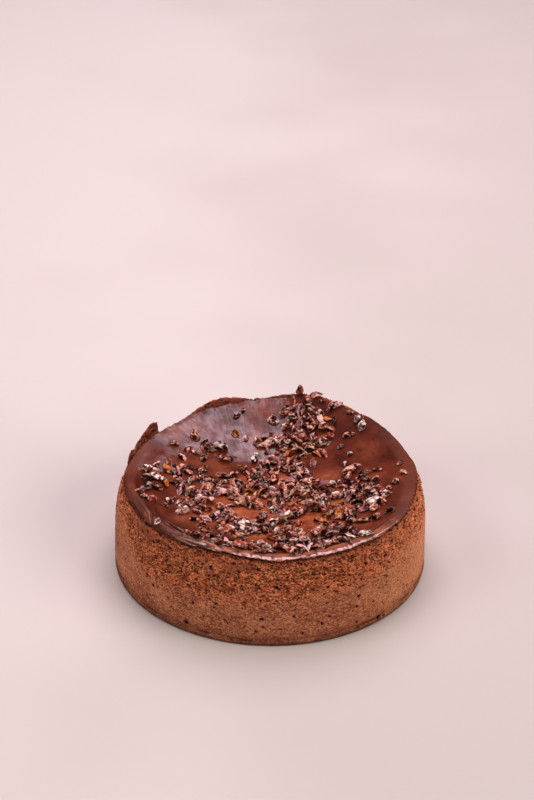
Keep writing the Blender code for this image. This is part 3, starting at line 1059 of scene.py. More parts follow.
    def round_rise(self, points: Array, facing: Array, angles: Array) -> Array:
        """Rise that brings a point of the smooth form onto the round of the lip.

        Args:
            points: points of the smooth form.
            facing: directions out of it.
            angles: their angles.

        Returns:
            A rise in metres for each of them.
        """
        drop, radius = (
            round_curve(angles, [(knot[0], knot[place]) for knot in self.rounds]) * MM for place in (1, 2)
        )
        drop = drop + 0.35 * MM * round_noise(angles, 6.0, 12.0) + 0.2 * MM * round_noise(angles, 17.0, 13.0)
        turn = np.radians(angles)
        out = np.cos(turn), np.sin(turn)
        height = points[..., 2]
        reach = (points[..., 0] - self.form.lean * height) * out[0] + points[..., 1] * out[1]
        across = reach - self.form.edge_at(angles) + self.round_inset
        up = height - self.form.crest_at(angles) + drop
        along = across * (facing[..., 0] * out[0] + facing[..., 1] * out[1]) + up * facing[..., 2]
        return np.sqrt(np.maximum(along**2 - across**2 - up**2 + radius**2, 0.0)) - along

    def ring_points(self, angles: Array, falls: Array, depth: float = 0.0) -> Array:
        """Points of the skin, or at a depth under its face."""
        points, facing = self.form.surface(angles, falls), self.form.facing(angles, falls)
        thin = 1 - 0.55 * bump(falls - self.edge_fall(angles), 2.2 * MM)
        plain, lip = self.relief(points, angles, falls), self.round_rise(points, facing, angles)
        lip = np.where(falls > -6 * MM, lip + 0.6 * (plain - self.proud), -1.0)
        rise = 0.5 * (plain + lip + np.hypot(plain - lip, 0.15 * MM)) - depth * thin
        return points + facing * rise[..., None]

    def crease_at(self, angles: Array, falls: Array, places: Array) -> Array:
        """How far points lie in a crease or a pit, for painted shade and a matt face.

        Args:
            angles: their angles.
            falls: their falls from the crest.
            places: the points, in millimetres.

        Returns:
            A share for each of them, from 0 to 1.
        """
        share = np.zeros(places.shape[:-1])
        for *fold, width, height in self.folds:
            along, aside = self.beside(angles, falls, *fold)
            share = np.maximum(share, bump(aside, width) * np.exp(-0.5 * along**2) * (height < 0))
        for x, y, width, height in self.spots:
            share = np.maximum(share, spot(places, x, y, width) * (height < 0) * (width < 3))
        lines = np.stack(np.broadcast_arrays(falls / (0.8 * MM), 0.12 * angles, 0.0), axis=-1)
        lines = 0.45 * smooth_step(noise_at(lines, 1.0, 3.0), 0.0, 0.4)
        for *roll, width, _ in self.rolls:
            along, aside = self.beside(angles, falls, *roll)
            aside = np.abs(aside / width)
            deep = np.maximum(bump(aside - 1.4, 0.48), lines * (aside < 1.2))
            share = np.maximum(share, np.exp(-0.7 * np.abs(along) ** 3) * deep)
        return share

    def marks_at(self, angles: Array, falls: Array) -> dict[str, Array]:
        """The marks of the skin's face.

        Args:
            angles: angles round the cake.
            falls: falls from the crest.

        Returns:
            How far the paler band of the rim shows, how pale, how matt and how dark each point is painted as
            shade.
        """
        places = self.form.surface(angles, falls) / MM
        x, y = places[..., 0], places[..., 1]
        past = falls - self.edge_fall(angles)
        off = past / MM
        crease = shade = self.crease_at(angles, falls, places)
        for *middle, width, share in self.shades:
            shade = np.maximum(shade, share * spot(places, *middle, width))
        # Palest in the bottom of the dish
        away = np.hypot((x - 2.0) / 57.0, (y + 22.0) / 46.0)
        pale = 1 - smooth_step(away + 0.25 * noise_at(places * MM, 14 * MM, 6.0), 0.55, 1.15)
        # Most matt along the rim and on the right half of the back
        matt = round_curve(angles, self.matts) * smooth_step(past, -8.5 * MM, -4.0 * MM)
        matt = np.maximum(matt, 0.13 * (1 - smooth_step(off, -8.0, -4.0)))
        breaks = 0.7 * smooth_step(round_noise(angles, 26.0, 21.0), 0.02, 0.3) * smooth_step(off, -3.0, -2.0)
        inner = smooth_step(off, -9.0, -6.0) * (1 - smooth_step(off, -3.0, -1.8))
        matt = np.maximum(np.maximum(matt, breaks), round_curve(angles, self.bands_matt) * inner)
        for *middle, width, share in self.dull:
            matt = np.maximum(matt, share * spot(places, *middle, width))
        back = smooth_step(x + 0.06 * (68 - y), 8.0, 11.5) * smooth_step(y, -8, 14)
        matt = np.maximum(np.maximum(matt, back), crease)
        matt = self.least_matt + (1 - self.least_matt) * matt
        lip = round_curve(angles, self.lip_shine) * smooth_step(off, -2.2, -1.4)
        matt = np.maximum(np.maximum(matt * (1 - lip), breaks), crease)
        band = round_curve(angles, self.bands) * smooth_step(past, -8.0 * MM, -5.0 * MM)
        return {"edge": band, "pale": pale, "matt": matt, "crease": shade}

    def count_at(self, share: float) -> int:
        """Count of points of a ring at a share of the crest's radius."""
        for least, count in ((0.6, 400), (0.3, 200), (0.12, 100), (0.04, 40)):
            if share > least:
                return count
        return 16

    def inner_falls(self, share: float, count: int) -> tuple[Array, Array]:
        """Angles and falls of a ring at a share of the crest's radius."""
        angles = evenly(count)
        return angles, -self.form.edge_at(angles) * (1 - share)

    def rolled_edge(self, angles: Array, falls: Array) -> list[Array]:
        """Rings of the rounded edge, from its face to its underside.

        Args:
            angles: angles round the cake.
            falls: the fall at which the skin ends at each.

        Returns:
            The points of each ring.
        """
        top, under = self.ring_points(angles, falls), self.ring_points(angles, falls, self.thickness)
        out = np.cross(self.form.facing(angles, falls), np.roll(top, -1, 0) - np.roll(top, 1, 0))
        out = -out / np.linalg.norm(out, axis=-1, keepdims=True)
        middle, half = (top + under) / 2, (top - under) / 2
        reach = np.linalg.norm(half, axis=-1, keepdims=True)
        return [
            middle + half * math.cos(turn) + out * reach * math.sin(turn)
            for turn in np.radians((35.0, 75.0, 115.0, 150.0))
        ]

    def build(self) -> Object:
        """Builds the skin."""
        shell = Shell()

        def add(angles: Array, falls: Array) -> None:
            """Adds a ring of the upper face."""
            shell.add(self.ring_points(angles, falls), **self.marks_at(angles, falls))

        # The underside is painted dark as shade
        under = {"edge": 0.3, "pale": 0.0, "matt": 1.0, "crease": 0.8}
        inner = 1 - self.rim_width / self.form.crest_radius
        middle = np.array([0.0])
        add(middle, -self.form.edge_at(middle))
        for share in np.arange(0.012, inner - 0.008, self.ring_step / self.form.crest_radius):
            add(*self.inner_falls(share, self.count_at(share)))
        angles = evenly(self.rim_count)
        ends = self.edge_fall(angles)
        start = -self.rim_width
        for row in range(self.rim_rows):
            share = 1 - (1 - row / (self.rim_rows - 1)) ** 1.5
            add(angles, start + (ends - start) * share)
        marks = self.marks_at(angles, ends)
        for place, ring in enumerate(self.rolled_edge(angles, ends)):
            # The rolled edge is painted darker towards its underside as shade
            edge, crease = marks["edge"] * (0.8 - 0.25 * place), 0.4 + 0.2 * place
            shell.add(ring, edge=edge, pale=0.0, matt=marks["matt"], crease=crease)
        for row in range(self.under_rows):
            falls = ends + (start - ends) * row / (self.under_rows - 1)
            shell.add(self.ring_points(angles, falls, self.thickness), **under)
        for share in (0.75, 0.5, 0.25, 0.05):
            around = self.inner_falls(share, self.count_at(share) // 2)
            shell.add(self.ring_points(*around, self.thickness), **under)
        shell.add(self.ring_points(middle, -self.form.edge_at(middle), self.thickness), **under)
        return shell.to_object("baked_skin")


@dataclass(frozen=True)
class CrumbBody:
    """The baked crumb: the wall with its rough band and pinholes, the ledges of the rim and the foot."""

    form: CakeForm
    skin: BakedSkin
    count: int = 880
    row_step: float = 0.63 * MM
    ledge: float = 7.0 * MM
    hidden_falls: tuple[float, ...] = (-20.0 * MM, -13.0 * MM, -9.5 * MM, -8.0 * MM)
    hidden_depth: float = 1.45 * MM
    widest: float = 89.9 * MM
    seed: int = 41
    pinholes: int = 1100
    pits: int = 9500
    # Lower border of the rough band: angle and height in millimetres
    borders: Knots = (
        (-180, 45), (-160, 43), (-150, 34), (-138, 26), (-128, 25), (-112, 27), (-95, 29), (-75, 31),
        (-55, 32), (-35, 36), (-15, 36), (10, 38), (40, 35), (80, 30), (110, 32), (140, 36), (165, 42),
    )
    # How coarse the band is: angle and share
    coarseness: Knots = (
        (-160, 0.7), (-135, 1), (-100, 1), (-70, 0.85), (-40, 0.6), (0, 0.55), (60, 0.8), (110, 0.9),
        (170, 0.75),
    )
    # How far the crumb rises to close against the underside of the skin's edge: angle and share
    tucks: Knots = ((-170, 0), (32, 0), (50, 1), (166, 1), (176, 0))
    # Smooth crust left under the lip: angle, height, reach in degrees, half height in millimetres
    crusts: Rows = ((-103, 48.5, 9, 3.6), (-143, 49.5, 11, 3.4))
    # How far the crust lies back, and how deep the groove under the skin's edge is, in millimetres
    crust_dip: float = 0.3
    groove: float = 1.1
    # Waves of the whole crumb: height and size in millimetres, and layer
    smooth_waves: Rows = ((0.14, 1.2, 3), (0.12, 4, 0), (0.3, 22, 0))

    def rough_share(self, points: Array, angles: Array) -> Array:
        """How rough the wall is, from 0 to 1."""
        border = round_curve(angles, self.borders) * MM
        ragged = 4.0 * noise_at(points, 11 * MM, 3.0) + 3.0 * noise_at(points, 4 * MM, 5.0)
        return smooth_step(points[..., 2] + ragged * MM, border - 8 * MM, border + 8 * MM)

    def crust_share(self, points: Array, angles: Array) -> Array:
        """How far the smooth crust under the lip covers the crumb, from 0 to 1."""
        share = np.zeros(points.shape[:-1])
        ragged = 0.45 * noise_at(points, 6 * MM, 8.0) + 0.4 * noise_at(points, 2.2 * MM, 3.0)
        for angle, height, reach, half in self.crusts:
            away = (turn_from(angles, angle) / reach) ** 2 + ((points[..., 2] / MM - height) / half) ** 2
            share = np.maximum(share, 0.85 - 0.85 * smooth_step(np.sqrt(away) + ragged, 0.45, 1.15))
        return share

    def relief(self, points: Array, angles: Array, falls: Array) -> tuple[Array, dict[str, Array]]:
        """Rise of the crumb over the smooth form, and the marks that go with it.

        Args:
            points: points of the smooth form.
            angles: their angles.
            falls: their falls from the crest.

        Returns:
            The rise in metres, and each mark's values by its name.
        """
        rough, crust = self.rough_share(points, angles), self.crust_share(points, angles)
        loose = rough * (1 - crust)
        coarse = round_curve(angles, self.coarseness)
        lobes = self.form.swell_at(angles, self.form.crest_swells[: self.form.lobes])
        lobes = np.clip(lobes / (3.5 * MM), 0, 1)
        torn = lobes * smooth_step(-falls, 0.3 * MM, 1.6 * MM)
        crag = -self.form.crag_depth / MM * (0.4 - 0.5 * noise_at(points, self.form.crag_size))
        lumps = 0.45 * (0.1 - noise_at(points, 1.6 * MM, 1.0, "VORONOI_F1"))
        lumps = lumps + 0.25 * noise_at(points, 1.1 * MM, 2.0)
        pits = 0.7 * smooth_step(-noise_at(points, 2.4 * MM, 7.0), 0.25, 0.6)
        clumps = 0.8 * (0.15 - noise_at(points, 3.2 * MM, 6.0, "VORONOI_F1"))
        fine = coarse * (lumps + clumps - 0.6 * pits)
        smooth = noises_at(points, self.smooth_waves)
        ends = self.skin.edge_fall(angles)
        cover = 1 - smooth_step(falls, ends - 0.5 * MM, ends + 0.6 * MM)
        groove = bump(falls - ends - 0.8 * MM, 0.9 * MM)
        tuck = round_curve(angles, self.tucks)
        groove = groove * (1 - 0.75 * tuck)
        rise = loose * (crag * (0.45 + 0.55 * coarse) + fine) + smooth
        rise = rise - crust * self.crust_dip - groove * self.groove * (1 - cover)
        rise = rise * (1 - 0.65 * lobes * bump(falls, 5 * MM))
        tuck = tuck * smooth_step(falls, ends - 2.6 * MM, ends - 1.0 * MM)
        under = 0.4 - self.skin.relief(points, angles, falls) / MM
        hidden = self.hidden_depth / MM * (1 - tuck) + tuck * under
        rise = rise * (1 - cover) - hidden * cover
        above = points[..., 2] / MM + 1.6 * noise_at(points, 6 * MM) + 0.8 * noise_at(points, 2 * MM)
        foot = 1 - 0.55 * smooth_step(above, 0.6, 4.0) - 0.45 * smooth_step(above, 4.0, 11.0)
        seam = bump(points[..., 2] / MM - 3.8 - 1.2 * noise_at(points, 14 * MM, 2.0), 0.55)
        seam = seam * smooth_step(noise_at(points, 9 * MM, 4.0), -0.15, 0.15) + bump(points[..., 2] / MM, 0.9)
        below = 0.6 * (1 - smooth_step(falls - ends, 1 * MM, 8 * MM)) * loose
        # Painted light: the right side of the wall, where the light from the right falls, is painted lighter
        lit = smooth_step(turn_from(angles, -12.0), -55.0, 0.0)
        lit = lit * (1 - smooth_step(turn_from(angles, 40.0), 0.0, 60.0))
        # Painted shade: low crumb, the groove under the skin's edge, the torn ledges, the seam of the foot
        # and the line where the cake meets the floor are darkened
        hollow_shade = 0.55 * loose * smooth_step(-fine, 0.4, 1.3) + 0.8 * groove * (1 - cover)
        marks = {
            "rough": loose,
            # Painted highlight: the raised crumb is lighter
            "brink_highlight": loose * smooth_step(fine, 0.15, 0.6),
            "crust": np.maximum(np.maximum(crust, torn), below),
            "foot": foot,
            "lit": lit + 0.0 * falls,
            "hollow_shade": np.clip(hollow_shade + 0.5 * torn + 0.85 * seam, 0, 1),
        }
        return rise * MM, marks

    def pierce(self, angles: Array, falls: Array, points: Array, loose: Array) -> tuple[Array, Array]:
        """Depth of the scattered pinholes and of the pits of the rough band.

        Args:
            angles: angles of the columns.
            falls: falls of the rows.
            points: the smooth form's points.
            loose: how rough the crumb is at each of them.

        Returns:
            A depth in metres for each row and column, and how far it lies on the rim of a pit, which is
            painted lighter as a highlight.
        """
        draw = random.Random(self.seed)
        depth, brink_highlight = np.zeros((2, len(falls), len(angles)))
        near = np.arange(-3, 4)
        for number in range(self.pinholes + self.pits):
            pit = number >= self.pinholes
            row, column = draw.randrange(12, len(falls) - 3), draw.randrange(len(angles))
            width = (0.32 + 0.36 * draw.random() ** 2.0 if pit else 0.42 + 0.46 * draw.random() ** 3.0) * MM
            long = draw.uniform(1.0, 1.9) if pit else draw.uniform(1.2, 2.0)
            deep = width * (draw.uniform(0.8, 1.4) + 0.4 * (not pit))
            high = 0.55 + 0.45 * smooth_step(points[row, column, 2], 14 * MM, 30 * MM)
            if draw.random() > (loose[row, column] ** 1.5 if pit else high):
                continue
            rows, columns = np.clip(row + near, 0, len(falls) - 1), (column + near) % len(angles)
            patch = np.ix_(rows, columns)
            off = points[patch] - points[row, column]
            away = np.sqrt(off[..., 2] ** 2 + (off[..., 0] ** 2 + off[..., 1] ** 2) / long**2) / width
            depth[patch] = np.maximum(depth[patch], deep * np.clip(1 - away**2, 0, 1) ** 0.6)
            brink_highlight[patch] = np.maximum(brink_highlight[patch], pit * bump(away - 1.6, 0.45) * draw.uniform(0.2, 1.0))
        return depth, brink_highlight

    def build(self) -> Object:
        """Builds the body."""
        angles = evenly(self.count)
        bottom = self.form.fall_to_foot()
        shown = np.linspace(-self.ledge, bottom, int((bottom + self.ledge) / self.row_step) + 1)
        falls = np.concatenate([self.hidden_falls, shown])
        grid = angles[None, :], falls[:, None]
        points = self.form.surface(*grid)
        rise, marks = self.relief(points, *grid)
        holes, brink_highlight = self.pierce(angles, falls, points, marks["rough"])
        marks["brink_highlight"] = np.maximum(marks["brink_highlight"], brink_highlight)
        holes *= smooth_step(grid[1] - self.skin.edge_fall(grid[0]), 0.6 * MM, 1.6 * MM)
        # Painted shade in the pinholes and the pits
        marks["hollow_shade"] = np.clip(marks["hollow_shade"] + holes / (0.6 * MM), 0, 1)
        rise = (rise - holes) * smooth_step(points[..., 2], 0.0, 1.2 * MM)
        points = points + self.form.facing(*grid) * rise[..., None]
        points[..., :2] *= np.minimum(1.0, self.widest / np.hypot(points[..., 0], points[..., 1]))[..., None]
        shell = Shell()
        plain = dict.fromkeys(marks, 0.0)
        for share, count in ((0.0, 1), (0.3, 55), (0.6, 220)):
            angles = evenly(count)
            inside = self.form.surface(angles, -self.form.edge_at(angles) * (1 - share))
            shell.add(inside - np.array((0, 0, self.hidden_depth)), **plain)
        for row, ring in enumerate(points):
            shell.add(ring, **{name: values[row] for name, values in marks.items()})
        for share, count in ((0.96, 220), (0.5, 55), (0.0, 1)):
            angles = evenly(count)
            shell.add(self.form.placed(self.form.foot_radius * share, angles, 0.0 * angles), **plain)
        return shell.to_object("crumb_body")


@dataclass(frozen=True)
class TornFlake:
    """The torn strip of crust that stands on the rim at the back left."""

    form: CakeForm
    start: float = 142.5
    end: float = 168.5
    # Its rise over the crest at equal steps from one end, in millimetres
    rises: tuple[float, ...] = (5.0, 6.9, 6.6, 5.4, 4.4, 3.6, 3.2, 1.2, 3.6, 3.2, 0.5)
    thickness: float = 1.9 * MM
    root: float = 4.0 * MM
    # Waves of its faces: height and size in millimetres, and layer
    waves: Rows = ((0.35, 2.4, 4), (0.25, 1.1, 2))
    crack_depth: float = 0.45
    steps: int = 110
    rows: int = 16

    def section(self, share: float) -> Array:
        """A closed loop of points across the flake at a share of its length.

        Args:
            share: how far along the flake it lies, from 0 to 1.

        Returns:
            The points, up one side and down the other.
        """
        angle = np.array([self.start + (self.end - self.start) * share])
        edge, crest = float(self.form.edge_at(angle)[0]), float(self.form.crest_at(angle)[0])
        rise = float(np.interp(share, np.linspace(0, 1, len(self.rises)), self.rises)) * MM
        chip = 0.8 * MM * noise.noise((share * 22.0, 3.0, 0.0))
        chip += 0.5 * MM * noise.noise((share * 55.0, 5.0, 0.0))
        half = self.thickness / 2 * (0.35 + 0.65 * math.sin(math.pi * share) ** 0.6)
        low, high = crest - self.root, crest + max(0.3 * MM, rise + chip)
        middle = edge + self.thickness / 3
        points = []
        for side in (-1, 1):
            heights = np.linspace(low, high, self.rows)
            heights = heights if side < 0 else heights[::-1]
            for height in heights:
                up = (height - low) / (high - low)
                thin = half * (1 - 0.55 * up**2) * math.sqrt(max(0.02, 1 - up**8))
                out = 0.9 * MM * up**1.5 * (1 - share)
                radius = np.array([middle + side * thin + out])
                points.append(self.form.placed(radius, angle, np.array([height]))[0])
        return np.array(points)

    def build(self) -> Object:
        """Builds the flake."""
        loops = np.array([self.section(step / (self.steps - 1)) for step in range(self.steps)])
        turn = np.radians((self.start + self.end) / 2)
        inward = np.where(np.arange(loops.shape[1]) < self.rows, -1.0, 1.0)
        up = np.concatenate([np.linspace(0, 1, self.rows), np.linspace(1, 0, self.rows)])[None, :]
        along = np.linspace(0, 1, self.steps)[:, None]
        wave = 0.06 * np.sin(23 * along) + 0.05 * np.sin(41 * along + 1)
        upper = bump(up - 0.78 + wave, 0.05) * (np.sin(17 * along) > -0.3)
        cracks = np.maximum(bump(up - 0.5 - wave, 0.07), upper)
        lumps = noises_at(loops, self.waves) - self.crack_depth * cracks
        outward = np.array((math.cos(turn), math.sin(turn), 0.0))
        loops = loops + outward * (inward * lumps * MM)[..., None]
        steps, count = loops.shape[:2]
        rings = [range(at * count, (at + 1) * count) for at in range(steps)]
        faces = [face for near, far in zip(rings, rings[1:]) for face in Shell.strip(near, far)]
        faces += [tuple(rings[0]), tuple(reversed(rings[-1]))]
        flat = loops.reshape(-1, 3)
        # Painted shade in the cracks and pits of the flake
        hollow_shade = smooth_step(-noise_at(flat, 1.6 * MM, 2.0), 0.15, 0.5)
        marks = {
            "rough": np.full(len(flat), 0.4),
            "crust": 0.6 + 0.4 * smooth_step(noise_at(flat, 5 * MM, 1.0), -0.2, 0.3),
            "hollow_shade": np.clip(0.6 * hollow_shade + 0.9 * cracks.ravel(), 0, 1),
        }
        flake = mesh_object("torn_flake", flat, faces, marks)
        mesh = bmesh.new()
        mesh.from_mesh(flake.data)
        bmesh.ops.triangulate(mesh, faces=[face for face in mesh.faces if len(face.verts) > 4])
        bmesh.ops.recalc_face_normals(mesh, faces=mesh.faces)
        mesh.to_mesh(flake.data)
        mesh.free()
        return flake


# What is strewn over the cake


def strewing_tree() -> NodeTree:
    """The node tree that sets one of several shapes on each place and turns it a little by chance."""
    takes = {
        "Places": "NodeSocketGeometry",
        "Shapes": "NodeSocketCollection",
        "Finish": "NodeSocketMaterial",
        "Tilt": "NodeSocketFloat",
        "Swelling": "NodeSocketFloat",
        "Seed": "NodeSocketInt",
    }
    wire, inputs = new_group("strewing", takes, {"Pieces": "NodeSocketGeometry"}, "GeometryNodeTree")
    parts = {"Collection": inputs["Shapes"], "Separate Children": True, "Reset Children": True}
    shapes = wire.node("GeometryNodeCollectionInfo", parts)
    turned, size, shape = (
        wire.node("GeometryNodeInputNamedAttribute", {"Name": name}, data_type=kind).outputs["Attribute"]
        for name, kind in (("turned", "FLOAT_VECTOR"), ("size", "FLOAT_VECTOR"), ("shape", "INT"))
    )
    least, most = (
        wire.node("ShaderNodeCombineXYZ", {0: end, 1: end}).outputs[0]
        for end in (wire.times(inputs["Tilt"], -1.0), inputs["Tilt"])
    )
    chance = {"Min": least, "Max": most, "Seed": inputs["Seed"]}
    chance = wire.node("FunctionNodeRandomValue", chance, data_type="FLOAT_VECTOR").outputs[0]
    tilt = wire.node("FunctionNodeEulerToRotation", {0: chance}).outputs[0]
    turn = wire.node("FunctionNodeEulerToRotation", {0: turned}).outputs[0]
    both = wire.node("FunctionNodeRotateRotation", {0: turn, 1: tilt}, rotation_space="LOCAL").outputs[0]
    swelling = {2: wire.less(1.0, inputs["Swelling"]), 3: wire.plus(1.0, inputs["Swelling"])}
    swelling = wire.node("FunctionNodeRandomValue", {**swelling, "Seed": inputs["Seed"]}, data_type="FLOAT")
    placing = {
        "Points": inputs["Places"],
        "Instance": shapes.outputs[0],
        "Pick Instance": True,
        "Instance Index": shape,
        "Rotation": both,
        "Scale": wire.vector("SCALE", size, swelling.outputs[1]),
    }
    placed = wire.node("GeometryNodeInstanceOnPoints", placing).outputs[0]
    real = wire.node("GeometryNodeRealizeInstances", {0: placed}).outputs[0]
    finish = {"Geometry": real, "Material": inputs["Finish"]}
    finished = wire.node("GeometryNodeSetMaterial", finish).outputs[0]
    wire.node("NodeGroupOutput", {"Pieces": finished})
    return wire.tree


@dataclass(frozen=True)
class Laid:
    """One thing strewn on the cake: where it lies, how it is turned, its size, its shape and its tone."""

    place: Vector
    turned: Euler
    size: Triple
    shape: int
    tone: float


@dataclass(frozen=True)
class Strewing:
    """Strews shapes of one kind over places by the node tree, and gives one plain mesh."""

    tree: NodeTree
    name: str
    tilt: float = 8.0
    swelling: float = 0.06
    seed: int = 5

    def build(self, laid: Sequence[Laid], shapes: Sequence[Object], finish: Material) -> Object:
        """Builds the piece.

        Args:
            laid: what lies where.
            shapes: the shapes to pick from, which are removed afterwards.
            finish: the material.

        Returns:
            The piece, at the origin.
        """
        kit = bpy.data.collections.new(self.name + "_shapes")
        for shape in shapes:
            kit.objects.link(shape)
        data = bpy.data.meshes.new(self.name)
        data.from_pydata([each.place[:] for each in laid], [], [])
        for name, kind, key, values in (
            ("turned", "FLOAT_VECTOR", "vector", [tuple(each.turned) for each in laid]),
            ("size", "FLOAT_VECTOR", "vector", [each.size for each in laid]),
            ("shape", "INT", "value", [each.shape % len(shapes) for each in laid]),
            ("tone", "FLOAT", "value", [each.tone for each in laid]),
        ):
            data.attributes.new(name, kind, "POINT").data.foreach_set(key, np.array(values).ravel())
        piece = bpy.data.objects.new(self.name, data)
        bpy.context.scene.collection.objects.link(piece)
        strew = piece.modifiers.new("strew", "NODES")
        strew.node_group = self.tree
        values = {"Shapes": kit, "Finish": finish, "Tilt": math.radians(self.tilt)}
        values.update({"Swelling": self.swelling, "Seed": self.seed})
        for socket in self.tree.interface.items_tree:
            if socket.in_out == "INPUT" and socket.name in values:
                strew[socket.identifier] = values[socket.name]
        graph = bpy.context.evaluated_depsgraph_get()
        plain = bpy.data.meshes.new_from_object(piece.evaluated_get(graph))
        piece.modifiers.clear()
        piece.data = plain
        plain.name = self.name
        bpy.data.meshes.remove(data)
        for name in ("turned", "size", "shape"):
            if name in plain.attributes:
                plain.attributes.remove(plain.attributes[name])
        for shape in shapes:
            bpy.data.objects.remove(shape)
        bpy.data.collections.remove(kit)
        return piece


@dataclass(frozen=True)
class Cut:
    """How a broken piece is shaped: facets, dents, grain, bend, half sizes and fineness of its mesh."""

    facets: tuple[int, int]
    dents: tuple[int, int]
    dent_depth: float = 0.35
    grain: float = 0.09
    bend: float = 0.12
    wide: Pair = (0.34, 0.46)
    thick: Pair = (0.2, 0.3)
    level: int = 3


def broken_shape(draw: random.Random, cut: Cut, name: str) -> Object:
    """A broken, faceted piece about the origin, one unit long, with its ridges marked, and its hollows and
    underside marked for painted shade.

    Args:
        draw: where its chances come from.
        cut: how it is shaped.
        name: the object's name.

    Returns:
        The object, which is in no scene.
    """
    ball = bmesh.new()
    bmesh.ops.create_icosphere(ball, subdivisions=cut.level, radius=1.0)
    ways = np.array([vertex.co[:] for vertex in ball.verts])
    faces = [[vertex.index for vertex in face.verts] for face in ball.faces]
    ball.free()
    planes = np.array([[draw.gauss(0, 1) for _ in range(3)] for _ in range(draw.randint(*cut.facets))])
    planes /= np.linalg.norm(planes, axis=1, keepdims=True)
    heights = np.array([draw.uniform(0.34, 0.95) for _ in planes])
    facing = ways @ planes.T
    reach = np.where(facing > 0.08, heights / np.maximum(facing, 0.08), 1.3)
    nearest = np.sort(reach, axis=1)
    radius = np.minimum(nearest[:, 0], 1.12)
    ridge = bump(nearest[:, 1] - nearest[:, 0], 0.07)
    tones = np.array([draw.random() for _ in planes])
    facet = tones[np.argmin(reach, axis=1)]
    hollow_shade = np.zeros(len(ways))
    offset = draw.uniform(0, 90)
    for _ in range(draw.randint(*cut.dents)):
        centre = np.array([draw.gauss(0, 1) for _ in range(3)])
        centre /= np.linalg.norm(centre)
        width = draw.uniform(0.35, 0.7)
        away = np.arccos(np.clip(ways @ centre, -1, 1))
        dent = np.exp(-((away / width) ** 2))
        radius *= 1 - cut.dent_depth * dent
        hollow_shade = np.maximum(hollow_shade, smooth_step(dent, 0.35, 0.9))
        ridge = np.maximum(ridge, bump(away - width * 1.15, 0.12))
    grain = noise_at(ways * (0.8, 1.0, 1.0), 0.34, offset) + 0.6 * noise_at(ways, 0.18, offset)
    radius *= 1 + cut.grain * grain
    half = np.array((0.5, draw.uniform(*cut.wide), draw.uniform(*cut.thick)))
    points = ways * radius[:, None]
    points = points / np.abs(points).max(axis=0) * half
    points[:, 1:] *= (1 - draw.uniform(0.0, 0.4) * (0.5 + points[:, 0]) ** 2)[:, None]
    points[:, 2] += cut.bend * (1 - 4 * points[:, 0] ** 2) - cut.bend / 2
    # Painted shade: the underside is darkened and its pale ridges dimmed
    under = smooth_step(-points[:, 2] / half[2], -0.1, 0.7) * (cut.level > 1)
    marks = {"ridge": ridge * (1 - 0.8 * under), "hollow_shade": np.maximum(hollow_shade, under), "facet": facet}
    made = mesh_object(name, points, faces, marks)
    made.data.set_sharp_from_angle(angle=math.radians(18 if cut.level > 2 else 8))
    bpy.context.scene.collection.objects.unlink(made)
    return made


class NibKind(Enum):
    """The kinds of broken cacao nib, and the name of each one's piece."""

    DARK = "dark_nibs"
    RED = "red_nibs"
    PALE = "pale_nibs"
    MAUVE = "mauve_nibs"
    HUSK = "husk_curls"
    AMBER = "amber_flakes"


NIB_FINISHES = {
    NibKind.DARK: NibFinish("dark_nib", "0b0101", "290a07", "672b20", "f0a48c", 0.95),
    NibKind.RED: NibFinish("red_nib", "130100", "5e130a", "aa4530", "fbb79f", 1.0),
    NibKind.PALE: NibFinish("pale_nib", "170202", "70281d", "d28f7b", "ffe2d4", 1.0),
    NibKind.MAUVE: NibFinish("mauve_nib", "160304", "4b1f20", "86494a", "eab5ac", 0.95, 0.1),
    NibKind.HUSK: NibFinish("husk", "2e0b05", "824030", "b77a60", "e4b498", 1.0, 0.5),
    NibKind.AMBER: NibFinish("amber_flake", "4a1506", "953d17", "c56b2e", "eaa468", 0.8, 0.1),
}

NIB_CUTS = {
    NibKind.DARK: Cut((5, 8), (2, 4), 0.5, 0.2, wide=(0.26, 0.4), thick=(0.17, 0.29)),
    NibKind.RED: Cut((5, 8), (2, 4), 0.55, 0.26, wide=(0.27, 0.42)),
    NibKind.PALE: Cut((6, 9), (3, 5), 0.6, 0.28, wide=(0.28, 0.44)),
    NibKind.MAUVE: Cut((5, 7), (1, 2), 0.4, 0.14, bend=0.16, wide=(0.24, 0.38), thick=(0.12, 0.2)),
    NibKind.HUSK: Cut((5, 8), (1, 2), grain=0.14, bend=0.3, wide=(0.24, 0.36), thick=(0.1, 0.16)),
    NibKind.AMBER: Cut((6, 9), (1, 2), grain=0.14, bend=0.25, wide=(0.26, 0.42), thick=(0.08, 0.14)),
}

# Share of each kind among the nibs whose kind is left to chance
NIB_WEIGHTS = dict(zip(NibKind, (0.33, 0.34, 0.13, 0.14, 0.02, 0.04)))

